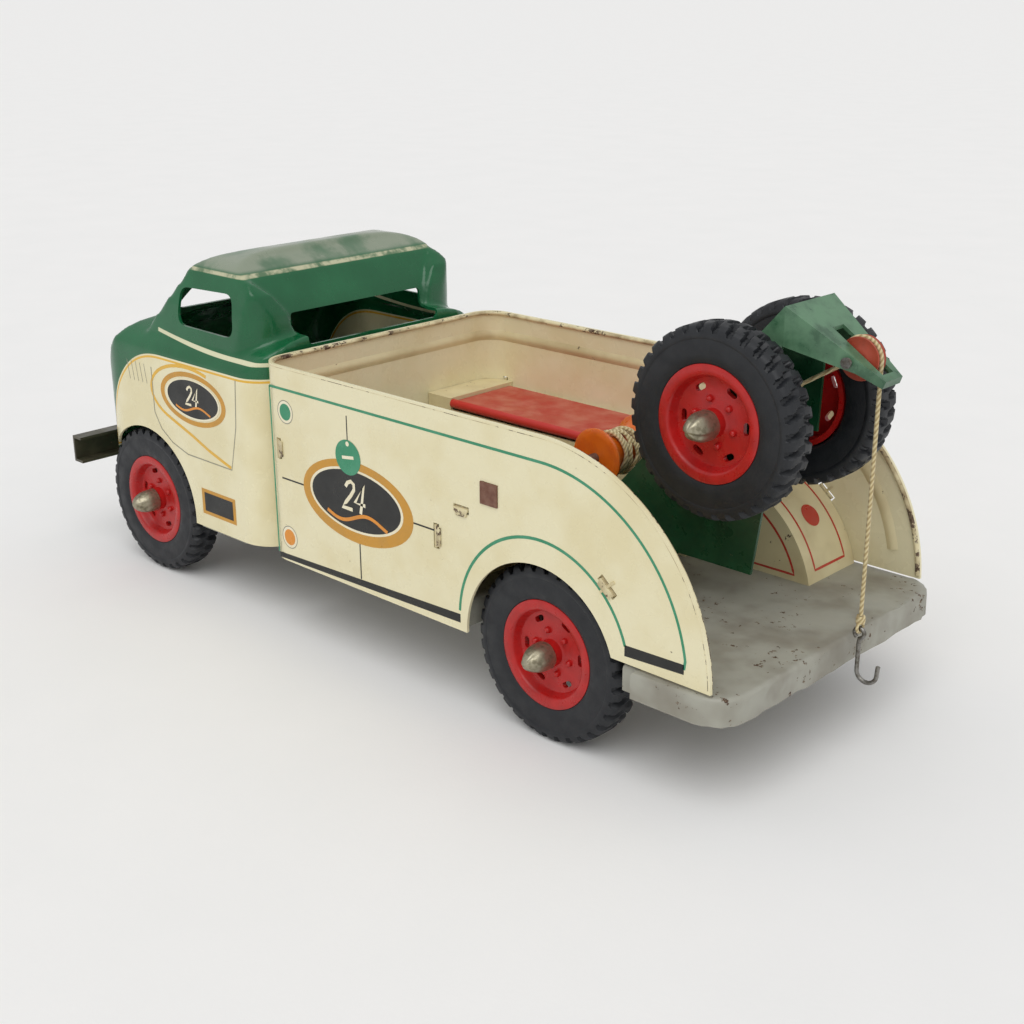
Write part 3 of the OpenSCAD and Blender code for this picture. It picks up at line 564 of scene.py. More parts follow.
def cap_form(seed):
    twist = seed * 0.7
    rows_up = [(CAP_R, -0.2), (CAP_R, 1.6), (CAP_R, 3.4), (CAP_R * 0.95, 5.2), (CAP_R * 0.84, 7.0),
               (CAP_R * 0.66, 8.7), (CAP_R * 0.42, 10.2), (CAP_R * 0.18, 11.1)]
    points, faces = [], []
    n = 48
    for r, h in rows_up:
        climb = max(0.0, h / CAP_L)
        for k in range(n):
            a = 2 * math.pi * k / n
            flat = 1 - 0.075 * (0.5 + 0.5 * math.cos(6 * a)) * (0.4 + climb)
            fold = 1 - 0.16 * climb * max(0.0, math.cos(3 * (a + twist) + 1.5 * climb)) ** 6
            points.append((r * flat * fold * math.cos(a) * MM, r * flat * fold * math.sin(a) * MM, h * MM))
    points.append((0, 0, CAP_L * MM))
    for i in range(len(rows_up) - 1):
        faces += [(i * n + k, i * n + (k + 1) % n, (i + 1) * n + (k + 1) % n, (i + 1) * n + k)
                  for k in range(n)]
    last = (len(rows_up) - 1) * n
    faces += [(last + k, last + (k + 1) % n, len(points) - 1) for k in range(n)]
    faces.append(tuple(range(n - 1, -1, -1)))
    return points, faces


# %% [markdown]
# Each wheel stands on its axle with its outer face away from the truck.

# %% Stand the wheels up
def stand(obj, x, side, face_y, z, shift=0, turn=0.0):
    obj.matrix_world = (Matrix.Translation(at(x, side * face_y + shift, z))
                        @ Matrix.Rotation(math.radians(-90 * side), 4, "X")
                        @ Matrix.Rotation(turn, 4, "Z"))


SPARE_FACE = 33.4
wheels = [("front_left", WHEELBASE, 1, TRACK_HALF, 0, 0, 0.3),
          ("front_right", WHEELBASE, -1, TRACK_HALF, 0, 0, 0.9),
          ("rear_left", 0, 1, TRACK_HALF, 0, 0, 0.55), ("rear_right", 0, -1, TRACK_HALF, 0, 0, 1.3),
          ("left_spare", SPARE[0], 1, SPARE_FACE, SPARE[1], BOOM_Y, 0.52),
          ("right_spare", SPARE[0], -1, SPARE_FACE, SPARE[1], BOOM_Y, 0.1)]
cap_sets = {"front_axle_caps": [], "rear_axle_caps": [], "spare_axle_caps": []}
for number, (name, x, side, face, z, shift, turn) in enumerate(wheels):
    body = name + "_wheel"
    for pattern, node, slot in ((tyre, name + "_tyre", "tyre_rubber"),
                                (hub, name + "_hub", "red_plastic"), (bosses, None, "red_plastic")):
        obj = bpy.data.objects.new((node or name + "_hub_bosses") + "_form", pattern.data)
        bpy.context.scene.collection.objects.link(obj)
        stand(obj, x, side, face, z, shift, turn)
        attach(obj, body)
        if node:
            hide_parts(node)
    holder = {WHEELBASE: "front_axle_caps", 0: "rear_axle_caps"}.get(x, "spare_axle_caps")
    obj = piece(name + "_axle_cap", *cap_form(number), None, plated, sharp=32)
    stand(obj, x, side, face, z, shift, turn * 3)
    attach(obj, "truck")
    cap_sets[holder].append(obj)
for node, caps in cap_sets.items():
    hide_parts(node)
for pattern in (tyre, hub, bosses):
    bpy.data.objects.remove(pattern)
print("wheels:", len(wheels))

# %% [markdown]
# The bed is one strip of tinplate: left side, front wall and right side, with round corners and a rear
# edge that sweeps down in a long curve. Each side starts as its flat outline. The strip then gets its
# thickness, the wheel arch, the tab slots and the square holes for the winch bushes are cut.

# %% Bed sides and front wall
BED_HALF, SHEET = 68.0, 1.2
BED_FRONT, BED_TOP, BED_LOW = 156.5, 84.0, -1.0
CORNER = 12
SWEEP_R = 75.0
BED_REAR = -76.0
ARCH_R = 36.0


def sweep_line(inset, low):
    """The bed's top edge from the front of the straight to the rear end, set in by inset."""
    curve = arc(BED_REAR + SWEEP_R, BED_TOP - SWEEP_R, SWEEP_R - inset, 90, 180, 60)
    return [(x, z) for x, z in curve if z > low + 0.5] + [(BED_REAR + inset, low)]


def side_outline():
    rear = sweep_line(0, 11.5)
    start = math.degrees(math.atan2(11.5, -math.sqrt(ARCH_R ** 2 - 11.5 ** 2)))
    end = math.degrees(math.atan2(BED_LOW, ARCH_R))
    return [(BED_FRONT - CORNER, BED_TOP)] + rear + arc(0, 0, ARCH_R, start, end,
                                                        40) + [(BED_FRONT - CORNER, BED_LOW)]


def flat_side(outline, y):
    return [at(x, y, z) for x, z in outline], [tuple(range(len(outline)))]


corner_steps = 10
path = [(BED_FRONT - CORNER, BED_HALF)]
for k in range(1, corner_steps + 1):
    a = math.pi / 2 * k / corner_steps
    path.append((BED_FRONT - CORNER + CORNER * math.sin(a), BED_HALF - CORNER + CORNER * math.cos(a)))
path += [(x, -y) for x, y in reversed(path)]
bend_points = []
for x, y in path:
    bend_points += [at(x, y, BED_LOW), at(x, y, BED_TOP)]
bend_faces = [(2 * i, 2 * i + 2, 2 * i + 3, 2 * i + 1) for i in range(len(path) - 1)]
points, faces = joined([flat_side(side_outline(), BED_HALF), flat_side(side_outline(), -BED_HALF),
                        (bend_points, bend_faces)])
bed = piece("bed_strip", points, faces, "truck", cream)
modify(bed, "SOLIDIFY", thickness=SHEET * MM, offset=-1)
settle(bed)
middle = sum(1 for v in bed.data.vertices if abs(v.co.y) > (BED_HALF + 0.3) * MM)
if middle:
    print("the sheet thickened outwards, which it must not", middle)


def block(x0, x1, y0, y1, z0, z1, tilt=0.0):
    """A box by its corners in millimetres, tilted about its middle in the side view."""
    cx, cz = (x0 + x1) / 2, (z0 + z1) / 2
    out = []
    for x in (x0, x1):
        for y in (y0, y1):
            for z in (z0, z1):
                a = math.radians(tilt)
                dx, dz = x - cx, z - cz
                out.append(at(cx + dx * math.cos(a) - dz * math.sin(a), y,
                              cz + dx * math.sin(a) + dz * math.cos(a)))
    return out, [(0, 1, 3, 2), (4, 6, 7, 5), (0, 4, 5, 1), (2, 3, 7, 6), (0, 2, 6, 4), (1, 5, 7, 3)]


SLOTS = [(145.0, 48.5, 9, 90), (51.5, 34.0, 10, 90), (38.0, 47.9, 8, 0), (-32.0, 37.1, 9, -41)]
holes = []
for side in (1, -1):
    for x, z, long, tilt in SLOTS:
        holes.append(block(x - long / 2, x + long / 2, side * 60, side * 72, z - 1.5, z + 1.5, -tilt))
    holes.append(block(WINCH[0] - 4.3, WINCH[0] + 4.3, side * 60, side * 72, WINCH[1] - 4.3,
                       WINCH[1] + 4.3))
holes.append(block(140, 170, -45.4, 45.4, -20, 10.9))
cut(bed, holes)
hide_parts("bed_shell")
print("bed:", len(bed.data.vertices), "points")

# %% [markdown]
# The top edge is rolled over so that it doesn't cut: a narrow hem along the sides and the front. This
# is where the enamel has flaked most, so it has its own, more chipped finish. Inside runs a pressed
# bead, a long soft ridge that stiffens the wall.

# %% Rolled hem and pressed bead
def wall_path(inset_top, rear_to, wall_inset):
    """Up one side, round the front and back along the other, following the top edge."""
    half = BED_HALF - wall_inset
    line = [(x, z) for x, z in reversed(sweep_line(inset_top, BED_TOP - SWEEP_R)) if z > rear_to]
    straight = [(x, BED_TOP - inset_top) for x in (20, 50, 80, 110, 130)]
    left = [at(x, half, z) for x, z in line + straight]
    r = CORNER - wall_inset
    bend = []
    for k in range(13):
        a = math.pi / 2 * k / 12
        bend.append(at(BED_FRONT - CORNER + r * math.sin(a), BED_HALF - CORNER + r * math.cos(a),
                       BED_TOP - inset_top))
    half_way = left + bend
    other = [Vector((p.x, -p.y, p.z)) for p in reversed(half_way)]
    return half_way + other


def plan_swept(path, section):
    """Carries (inward, upward) offsets along the wall, square to the wall in plan and to its edge."""
    points, faces = [], []
    n, m = len(path), len(section)
    for i, p in enumerate(path):
        ahead = (path[min(i + 1, n - 1)] - path[max(i - 1, 0)]).normalized()
        flat = Vector((ahead.x, ahead.y, 0))
        inward = Vector((0, -math.copysign(1, p.y), 0))
        on_bend = abs(abs(p.y) - abs(path[0].y)) >= 1e-6
        if on_bend and flat.length > 1e-3:
            inward = Vector((flat.y, -flat.x, 0)).normalized()
        over = inward.cross(ahead).normalized()
        if over.z < -0.2:
            over = -over
        points += [p + inward * u + over * v for u, v in section]
    for i in range(n - 1):
        faces += [(i * m + k, i * m + (k + 1) % m, (i + 1) * m + (k + 1) % m, (i + 1) * m + k)
                  for k in range(m)]
    faces += [tuple(range(m - 1, -1, -1)), tuple(range((n - 1) * m, n * m))]
    return points, faces


hem_ring = [(1.15 * MM + 1.2 * MM * math.cos(a), 0.95 * MM * math.sin(a))
            for a in (2 * math.pi * k / 10 for k in range(10))]
points, faces = plan_swept(wall_path(1.0, 12.8, 0.0), hem_ring)
hem = piece("bed_rolled_hem", points, faces, "truck", cream_rim, sharp=60)
ridge = [(0.0, 2.4 * MM), (0.45 * MM, 1.4 * MM), (0.75 * MM, 0.4 * MM), (0.75 * MM, -0.4 * MM),
         (0.45 * MM, -1.4 * MM), (0.0, -2.4 * MM), (-0.2 * MM, 0)]
points, faces = plan_swept(wall_path(11.5, 20.0, SHEET), ridge)
bead = piece("bed_pressed_bead", points, faces, "truck", cream_inside, sharp=60)
print("hem and bead follow", len(wall_path(1.0, 12.8, 0.0)), "stations")

# %% [markdown]
# The toolboxes are joined to the sides by tabs that come through the slots and are folded over, and
# the winch rod turns in square fibre bushes. The tabs are small tongues of the same enamelled sheet.

# %% Folded tabs
tongues = []
for side in (1, -1):
    for x, z, long, tilt in SLOTS:
        a = math.radians(-tilt)
        half = long / 2 - 0.7
        fold = [(0.1, 66.9), (0.1, 68.25), (-0.5, 68.5), (-2.6, 68.55), (-2.6, 68.2), (-0.6, 68.1),
                (-0.7, 66.9)]
        ring = []
        for u in (-half, half):
            for v, y in fold:
                squeeze = 0.82 if v < -1 else 1.0
                ring.append(at(x + u * squeeze * math.cos(a) - v * math.sin(a), side * y,
                               z + u * squeeze * math.sin(a) + v * math.cos(a)))
        n = len(fold)
        tongues.append((ring,
                        [tuple(range(n)),
                         tuple(range(2 * n - 1, n - 1, -1))] + [(k, k + n, (k + 1) % n + n, (k + 1) % n)
                                                                for k in range(n)]))
points, faces = joined(tongues)
tabs = piece("folded_tabs", points, faces, "truck", cream_rim)

# %% [markdown]
# The cab is one deep stamping, so nothing on it is flat for long. It is made as solids that cross: the
# outline from above, the outline from the side and the section, for the body and again for the roof.
# A remesh melts them into one skin, smoothing rounds every edge the way a press does, and a copy of
# the skin set in by the sheet's thickness is taken away so that the cab is hollow.

# %% Cab solids
CAB_REAR, NOSE, CAB_HALF, CAB_LOW = 160.0, 292.0, 65.0, -2.5
HOOD, HOOD_EDGE, SHOULDER = 89.0, 72.0, 80.0
EAVE, ROOF, EAVE_HALF = 111.5, 120.5, 54.8
HOUSE_REAR, HOUSE_HALF = 168.2, 61.0
ROOF_REAR, ROOF_FRONT, GLASS_BASE = 182.0, 219.0, 246.5
UNDER = -14.0


def prism(outline, place, near, far):
    """A closed prism: place(u, v, w) gives the point for an outline point (u, v) at depth w."""
    n = len(outline)
    points = [place(u, v, w) for w in (near, far) for u, v in outline]
    faces = [tuple(range(n)), tuple(range(2 * n - 1, n - 1, -1))]
    return points, faces + [(k, k + n, (k + 1) % n + n, (k + 1) % n) for k in range(n)]


def from_side(outline, y0=-80, y1=80):
    return prism(outline, lambda x, z, y: at(x, y, z), y0, y1)


def from_above(outline, z0, z1):
    return prism(outline, lambda x, y, z: at(x, y, z), z0, z1)


def from_front(outline, x0, x1):
    return prism(outline, lambda y, z, x: at(x, y, z), x0, x1)


def crossed(name, shapes):
    """What several closed shapes have in common."""
    first = piece(name, *shapes[0], None)
    for shape in shapes[1:]:
        other = piece("other", *shape, None)
        modify(first, "BOOLEAN", operation="INTERSECT", object=other, solver="EXACT")
        settle(first)
        bpy.data.objects.remove(other)
    return first


def plan(rear, half):
    corners = arc(rear + 16, half - 16, 16, 180, 90, 12) + arc(NOSE - 24, half - 24, 24, 90, 0, 14)
    return corners + [(x, -y) for x, y in reversed(corners)]


def crown(half, z, rise):
    """A flat-topped arch of (y, z) from one side to the other."""
    return [(half * math.cos(math.pi * i / 28), z + rise * (1 - math.cos(math.pi * i / 28) ** 4) ** 0.5)
            for i in range(29)]


nose_side = [(NOSE - 60 + 60 * math.cos(math.radians(a)) ** 0.83,
              5 + (HOOD - 5) * math.sin(math.radians(a)) ** 0.83) for a in range(0, 91, 6)]
lower = crossed("cab_lower",
                [from_side([(CAB_REAR - 1, UNDER), (NOSE, UNDER)] + nose_side + [(CAB_REAR - 1, HOOD)]),
                              from_above(plan(CAB_REAR, CAB_HALF), UNDER - 1, HOOD + 2),
                              from_front([(-CAB_HALF, UNDER - 1), (CAB_HALF, UNDER - 1)]
                                         + crown(CAB_HALF, HOOD_EDGE, HOOD - HOOD_EDGE), CAB_REAR - 2,
                                         NOSE + 2)])
roof_side = [(HOUSE_REAR, 70), (GLASS_BASE + 6, 70), (GLASS_BASE, SHOULDER + 3), (ROOF_FRONT + 3.5, 107),
             (ROOF_FRONT + 2, 111.5),
             (ROOF_FRONT - 2, 114), (ROOF_FRONT - 9, 117.6), (ROOF_FRONT - 17, 119.9),
             (ROOF_FRONT - 26, ROOF), (ROOF_REAR + 10, 118.4), (ROOF_REAR + 2, 113.6),
             (ROOF_REAR, 112), (ROOF_REAR - 5.5, 110), (ROOF_REAR - 10.5, 105.5), (HOUSE_REAR + 0.9, 98),
             (HOUSE_REAR, 90)]
roof_section = [(-HOUSE_HALF, 60), (HOUSE_HALF, 60), (HOUSE_HALF, SHOULDER), (59.4, 95), (57.2, 106),
                (EAVE_HALF, EAVE)]
roof_section += crown(EAVE_HALF, EAVE, ROOF - EAVE)[1:-1] + [(-EAVE_HALF, EAVE), (-57.2, 106),
                                                             (-59.4, 95), (-HOUSE_HALF, SHOULDER)]
upper = crossed("cab_upper",
                [from_side(roof_side), from_above(plan(HOUSE_REAR, HOUSE_HALF), 69, ROOF + 2),
                 from_front(roof_section, CAB_REAR - 2, NOSE + 2)])
between_posts = [(-38, 60), (38, 60), (38.5, 90), (41, 98), (46, 105), (52, 110.5), (50, 112.6),
                 (-50, 112.6), (-52, 110.5), (-46, 105), (-41, 98), (-38.5, 90)]
scoop = crossed("scoop", [from_side([(150, 60), (172, 60), (172, 96), (174.5, 101),
                                     (ROOF_REAR - 0.4, 112.2), (ROOF_REAR - 2, 114), (150, 114)]),
                          from_front(between_posts, CAB_REAR - 10, NOSE)])
modify(upper, "BOOLEAN", operation="DIFFERENCE", object=scoop, solver="EXACT")
settle(upper)
bpy.data.objects.remove(scoop)
modify(lower, "BOOLEAN", operation="UNION", object=upper, solver="EXACT")
settle(lower)
bpy.data.objects.remove(upper)
cab = lower
cab.name = "cab_stamping"
modify(cab, "REMESH", mode="VOXEL", voxel_size=1.25 * MM)
modify(cab, "SMOOTH", factor=0.5, iterations=4)
settle(cab, 60)
print("cab skin:", len(cab.data.vertices), "points")

# %% [markdown]
# The hollow, then the openings. The side window is a rounded trapezium with a leaning front edge; the
# rear opening lies between the two round corner posts, under the rolled roof edge.

# %% Hollow and openings
core = bpy.data.objects.new("core", cab.data.copy())
bpy.context.scene.collection.objects.link(core)
modify(core, "DISPLACE", strength=-1.3 * MM, mid_level=0.0)
settle(core)
modify(cab, "BOOLEAN", operation="DIFFERENCE", object=core, solver="EXACT")
settle(cab, 60)
bpy.data.objects.remove(core)
print("hollow cab:", len(cab.data.vertices), "points")


def rounded(corners, radius, steps=6):
    """A closed outline with its corners rounded."""
    out = []
    n = len(corners)
    for i in range(n):
        p, before, after = (Vector(corners[j % n]) for j in (i, i - 1, i + 1))
        a, b = (before - p).normalized(), (after - p).normalized()
        half_angle = a.angle(b) / 2
        cut_back = min(radius / math.tan(half_angle), (before - p).length * 0.45, (after - p).length * 0.45)
        start, end = p + a * cut_back, p + b * cut_back
        for k in range(steps + 1):
            t = k / steps
            out.append(tuple(start * (1 - t) ** 2 + p * 2 * t * (1 - t) + end * t * t))
    return out


side_window = rounded([(182.5, 86.8), (223.6, 87.4), (222.6, 104), (185.5, 105.2)], 5.5)
rear_window = rounded([(-37.5, 84.3), (37.5, 84.3), (37.5, 96.2), (-37.5, 96.2)], 2)
windscreen = rounded([(-53, 91), (53, 91), (48, 105.5), (-48, 105.5)], 7)
cab_holes = [from_side(side_window), from_front(rear_window, CAB_REAR - 6, CAB_REAR + 22),
             from_front(windscreen, ROOF_FRONT - 4, NOSE),
             from_side([(WHEELBASE + x, z) for x, z in arc(0, 0, ARCH_R, 0, 360, 72)[:-1]]),
             block(150, 175, -45.4, 45.4, -20, 10.9), block(140, 300, -80, 80, -30, CAB_LOW),
             block(284, 300, 13.6, 26.4, 10.1, 12.9), block(284, 300, -26.4, -13.6, 10.1, 12.9)]
for hole in cab_holes:
    cut(cab, [hole], 60)
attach(cab, "truck")
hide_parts("cab_shell")
print("cab:", len(cab.data.vertices), "points")

# %% [markdown]
# The cab is printed before it is pressed: green above, cream below, with a yellow line at the border, a
# cream line that runs back from the screen pillar, and green again round the nose. The finish works
# out from the height and the length which colour belongs at each place.

# %% Cab enamel
def cab_zones(made, paint):
    split = add(made, "ShaderNodeSeparateXYZ",
                {0: add(made, "ShaderNodeTexCoord").outputs["Object"]}).outputs
    ahead = maths(made, "DIVIDE", maths(made, "SUBTRACT", split[0], (232 + REAR_AXLE_X) * MM), 48.5 * MM)
    above = maths(made, "DIVIDE", maths(made, "SUBTRACT", split[2], (5 + AXLE_Z) * MM), 67.5 * MM)
    round_nose = maths(made, "ADD", maths(made, "POWER", maths(made, "MAXIMUM", ahead, 0.0), 2.41),
                       maths(made, "POWER", maths(made, "MAXIMUM", above, 0.0), 2.41))
    green_share = ramp(made, round_nose, 0.998, 1.002)
    cream_patch = blend(made, ramp(made, grain(made, 26, 3), 0.4, 0.7, 0, 0.5), ink("#e9e1bd"),
                        ink("#d9cc9c"))
    out = blend(made, green_share, cream_patch, paint)
    border = maths(made, "MULTIPLY", ramp(made, round_nose, 0.938, 0.942),
                   ramp(made, round_nose, 0.972, 0.976, 1, 0))
    out = blend(made, border, out, ink("#e2b13c"))
    run_back = maths(made, "MAXIMUM",
                     maths(made, "DIVIDE", maths(made, "SUBTRACT", split[0], (181 + REAR_AXLE_X) * MM),
                           57 * MM), 0.0)
    line_z = maths(made, "ADD", maths(made, "MULTIPLY", maths(made, "POWER", run_back, 2.0), 4.3 * MM),
                   (78.7 + AXLE_Z) * MM)
    off = maths(made, "ABSOLUTE", maths(made, "SUBTRACT", split[2], line_z))
    stripe = maths(made, "MULTIPLY", ramp(made, off, 0.75 * MM, 0.95 * MM, 1, 0),
                   ramp(made, split[0], (238 + REAR_AXLE_X) * MM, (239 + REAR_AXLE_X) * MM, 1, 0))
    out = blend(made, stripe, out, ink("#d8d7b4"))
    # A thin, patchy pale line is painted along the roof's edge, at one height.
    edge = maths(made, "ABSOLUTE", maths(made, "SUBTRACT", split[2], (112.3 + AXLE_Z) * MM))
    pale_edge_line = maths(made, "MULTIPLY", ramp(made, edge, 0.5 * MM, 1.0 * MM, 1, 0),
                      ramp(made, grain(made, 7, 5), 0.36, 0.6, 0.15, 0.9))
    # The roof's top, above the eave, is painted a paler grey-green in noisy patches.
    paler_roof_top = maths(made, "MULTIPLY", ramp(made, split[2], (112.6 + AXLE_Z) * MM, (114.5 + AXLE_Z) * MM),
                 ramp(made, grain(made, 18, 5), 0.34, 0.60, 0.35, 0.95))
    out = blend(made, paler_roof_top, out, ink("#8b9481"))
    return blend(made, pale_edge_line, out, ink("#c9c5a4"))


cab.data.materials.clear()
cab.data.materials.append(enamel("cab_enamel_green_over_cream", "#0f5a34", "#1c6a41", chips=0.16,
                                 haze=0.6, gloss=0.16, zones=cab_zones))

# %% [markdown]
# The chassis is a tray with turned-down edges. Only its rear deck shows well: grey, scuffed, with a
# soft bend at the edge. The tray's outline is walked round once and the bend is a few rings of points.

# %% Chassis tray
TAIL, TAIL_HALF = -83.5, 69.6
walk = [(TAIL, 4.3 * k) for k in range(1, 13)] + arc(TAIL + 13, TAIL_HALF - 13, 13, 180, 90, 10)
walk += [(-44, TAIL_HALF), (-44, 66.3), (-38, 66.3), (-38, 46), (38, 46), (38, 66.3), (142.5, 66.3),
         (142.5, 47), (179, 47),
         (179, 63.3), (212, 63.3), (212, 46), (287, 46)]
walk += [(x, -y) for x, y in reversed(walk)]
DECK, FLANGE, SILL = 10.5, 0.0, -4.0
bend = [(2.6, DECK), (1.5, DECK - 0.15), (0.7, DECK - 0.6), (0.2, DECK - 1.3), (0.0, DECK - 2.4),
        (0.0, None), (1.1, None), (1.1, DECK - 1.3)]


def set_in(outline, distance):
    """The outline moved inwards, corner by corner."""
    out = []
    n = len(outline)
    for i in range(n):
        p, q, r = (Vector(outline[j % n]) for j in (i - 1, i, i + 1))
        a, b = (q - p).normalized(), (r - q).normalized()
        na, nb = Vector((a.y, -a.x)), Vector((b.y, -b.x))
        middle = (na + nb).normalized()
        out.append(tuple(q + middle * distance / max(0.35, middle.dot(na))))
    return out


points, faces = [], []
n = len(walk)
for inset, z in bend:
    for (x, y), (wx, wy) in zip(set_in(walk, inset), walk):
        low = SILL if wx >= 179 else FLANGE
        points.append(at(x, y, low if z is None else z))
for row in range(len(bend) - 1):
    faces += [(row * n + k, row * n + (k + 1) % n, (row + 1) * n + (k + 1) % n, (row + 1) * n + k)
              for k in range(n)]
faces += [tuple(range(n)), tuple(range(len(points) - n, len(points)))]
dents = random.Random(4)
for i, p in enumerate(points):
    if 2 <= i // n <= 5 and p.x < at(-60, 0, 0).x:
        p.x += dents.uniform(0.0, 0.7) * MM
        p.z += dents.uniform(0.0, 0.5) * MM
tray = piece("chassis_tray", points, faces, "truck", deck_grey, sharp=45)
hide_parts("chassis")
print("tray outline:", n, "corners")

# %% [markdown]
# The winch is an orange moulded spool, narrow in the waist, with turns of cord lying across it. The
# pulley at the boom's tip is a small grooved wheel. Both are lathed and laid on their sides.

# %% Winch spool, winding and pulley
half = 14.0
spool_form = [(2.0, -half), (8.5, -half), (10.9, -half + 0.1), (11.5, -half + 0.7), (11.4, -half + 1.5),
              (10.2, -half + 2.3), (8.6, -half + 3.8), (7.4, -half + 6.0),
              (6.5, -5), (6.05, -2.5), (6.0, 0)]
spool_form += [(r, -h) for r, h in reversed(spool_form[:-1])]
points, faces = lathe([(r * MM, h * MM) for r, h in spool_form], 72)
across = Matrix.Translation(at(WINCH[0], BOOM_Y, WINCH[1])) @ Matrix.Rotation(math.radians(90), 4, "X")
spool = piece("winch_spool_form", [across @ Vector(p) for p in points], faces, "winch", amber, sharp=50)
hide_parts("winch_spool")
coil = []
TURNS = 9
for k in range(TURNS * 24 + 1):
    a = 2 * math.pi * k / 24
    lay = 4.6 * math.sin(0.62 * a / math.pi * 1.9) + 0.5 * math.sin(a * 0.37)
    r = 7.4 + 0.9 * (k / (TURNS * 24)) + 0.25 * math.sin(1.7 * a)
    coil.append(across @ Vector((r * math.cos(a) * MM, r * math.sin(a) * MM, lay * MM)))
points, faces = swept(coil, circle(LINE_R * MM, 8), up=Vector((0, 1, 0)))
winding = piece("line_winding_turns", points, faces, "winch", cotton, sharp=60)
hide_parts("line_winding")
wheel_form = [(1.3, -2.5), (3.6, -2.5), (4.2, -2.1), (6.6, -2.3), (7.3, -2.45), (7.5, -2.2), (7.3, -1.6),
              (6.3, -0.7), (6.3, 0.7), (7.3, 1.6), (7.5, 2.2),
              (7.3, 2.45), (6.6, 2.3), (4.2, 2.1), (3.6, 2.5), (1.3, 2.5)]
points, faces = lathe([(r * MM, h * MM) for r, h in wheel_form], 56)
across = Matrix.Translation(at(PULLEY[0], BOOM_Y, PULLEY[1])) @ Matrix.Rotation(math.radians(90), 4, "X")
pulley = piece("pulley_wheel", [across @ Vector(p) for p in points], faces, "pulley", brick, sharp=40)
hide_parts("tip_pulley")

# %% [markdown]
# The printed decoration lies on the enamel as ink. Each line, dot and oval is a leaf of its own a few
# hundredths of a millimetre proud of the sheet, so its edge stays sharp at any distance. The ovals are
# filled with a plain number.

# %% Inks
def printed(name, colour, worn):
    return enamel(name, colour, worn, chips=0.14, haze=0.5, gloss=0.30, patch_mm=8)


ink_green = printed("printed_green", "#2f8a63", "#4d9a79")
ink_black = printed("printed_black", "#10110f", "#22231f")
ink_gold = printed("printed_gold", "#c9912c", "#b98a3a")
ink_cream = printed("printed_cream", "#f0e8cc", "#e0d4ac")
ink_orange = printed("printed_orange", "#e08f2a", "#c98434")
ink_red = printed("printed_red", "#c23a2c", "#b25344")
ink_yellow = printed("printed_yellow", "#e4b23a", "#d4ab50")
ink_grey = printed("printed_grey", "#8f8c7a", "#a39f8a")
LEAF = 0.035


def leaf(name, outlines, y, ink_used, layer=1, sides=(1, -1)):
    """Flat outlines of (x, z) on the panels at y to the left and right."""
    points, faces = [], []
    for side in sides:
        for outline in outlines:
            start = len(points)
            points += [at(x, side * (y + LEAF * layer), z) for x, z in outline]
            faces.append(tuple(range(start, start + len(outline))))
    obj = piece(name, points, faces, "truck", ink_used)
    return obj


def stroke(path, width, closed=False):
    """The outline of a line of even width: quads from point to point, as one strip."""
    path = [Vector(p) for p in path]
    n = len(path)
    left, right = [], []
    for i, p in enumerate(path):
        before = path[(i - 1) % n] if closed or i else p
        after = path[(i + 1) % n] if closed or i < n - 1 else p
        ahead = (after - before).normalized()
        across = Vector((-ahead.y, ahead.x)) * width / 2
        left.append(tuple(p + across))
        right.append(tuple(p - across))
    last = n if closed else n - 1
    return [[left[i], left[(i + 1) % n], right[(i + 1) % n], right[i]] for i in range(last)]


def oval(cx, cz, a, b, tilt=0.0, count=48):
    t = math.radians(tilt)
    out = []
    for k in range(count):
        u, v = a * math.cos(2 * math.pi * k / count), b * math.sin(2 * math.pi * k / count)
        out.append((cx + u * math.cos(t) - v * math.sin(t), cz + u * math.sin(t) + v * math.cos(t)))
    return out


def ring_of(outer, inner):
    n = len(outer)
    return [[outer[k], outer[(k + 1) % n], inner[(k + 1) % n], inner[k]] for k in range(n)]


def figures(cx, cz, size):
    """The number 24 as leaning strokes. The left panel is read from front to rear, so x runs down."""
    two = [(-0.95, 0.55), (-0.8, 0.85), (-0.5, 1.0), (-0.2, 0.85), (-0.12, 0.5), (-0.35, 0.05),
           (-0.75, -0.5), (-1.05, -0.9), (-0.05, -0.9)]
    four = [(0.75, -1.0), (0.75, 1.0), (0.1, -0.35), (1.1, -0.35)]
    strokes = []
    for shape in (two, four):
        strokes += stroke([(cx - (u + 0.2 * v) * size, cz + v * size) for u, v in shape], size * 0.26)
    return strokes


# %% [markdown]
# On the bed's sides: a green pinstripe that follows the top edge down to the tail, a stripe over the
# wheel arch, a black skirt and the big oval. The same set of leaves goes on both sides.

# %% Bed decoration
PANEL = BED_HALF
pinstripe = [(149, 74.5), (100, 74.5), (50, 74.5), (0, 74.5)]
pinstripe += arc(BED_REAR + SWEEP_R, BED_TOP - SWEEP_R, SWEEP_R - 9.5, 90, 170, 36) + [(-65.1, 17.2)]
leaf("bed_pinstripe", stroke(pinstripe, 1.1) + stroke([(149, 74.5), (149, 2)], 0.9), PANEL, ink_green)
leaf("bed_arch_stripe", stroke(arc(-1.3, 5, 40.9, 3, 162, 40), 1.2), PANEL, ink_green)
leaf("bed_skirt", [[(148.5, 2.0), (39.3, 5.7), (39.3, 2.2), (148.5, -0.3)],
                   [(-40, 18.2), (-65.1, 19), (-65.1, 15.4), (-40, 14.1)]], PANEL, ink_black)
DOTS = [(139.5, 65, ink_green, "green"), (141.2, 10.2, ink_orange, "orange")]
for x, z, colour, word in DOTS:
    leaf("dot_ring_" + word, ring_of(oval(x, z, 5.0, 5.0), oval(x, z, 4.6, 4.6)), PANEL, ink_grey)
    leaf("dot_white_" + word, [oval(x, z, 4.6, 4.6)], PANEL, ink_cream)
    leaf("dot_" + word, [oval(x, z, 3.5, 3.5)], PANEL, colour, 2)
EX, EZ = 97, 36
leaf("emblem_gold", [oval(EX, EZ, 33, 17)], PANEL, ink_gold)
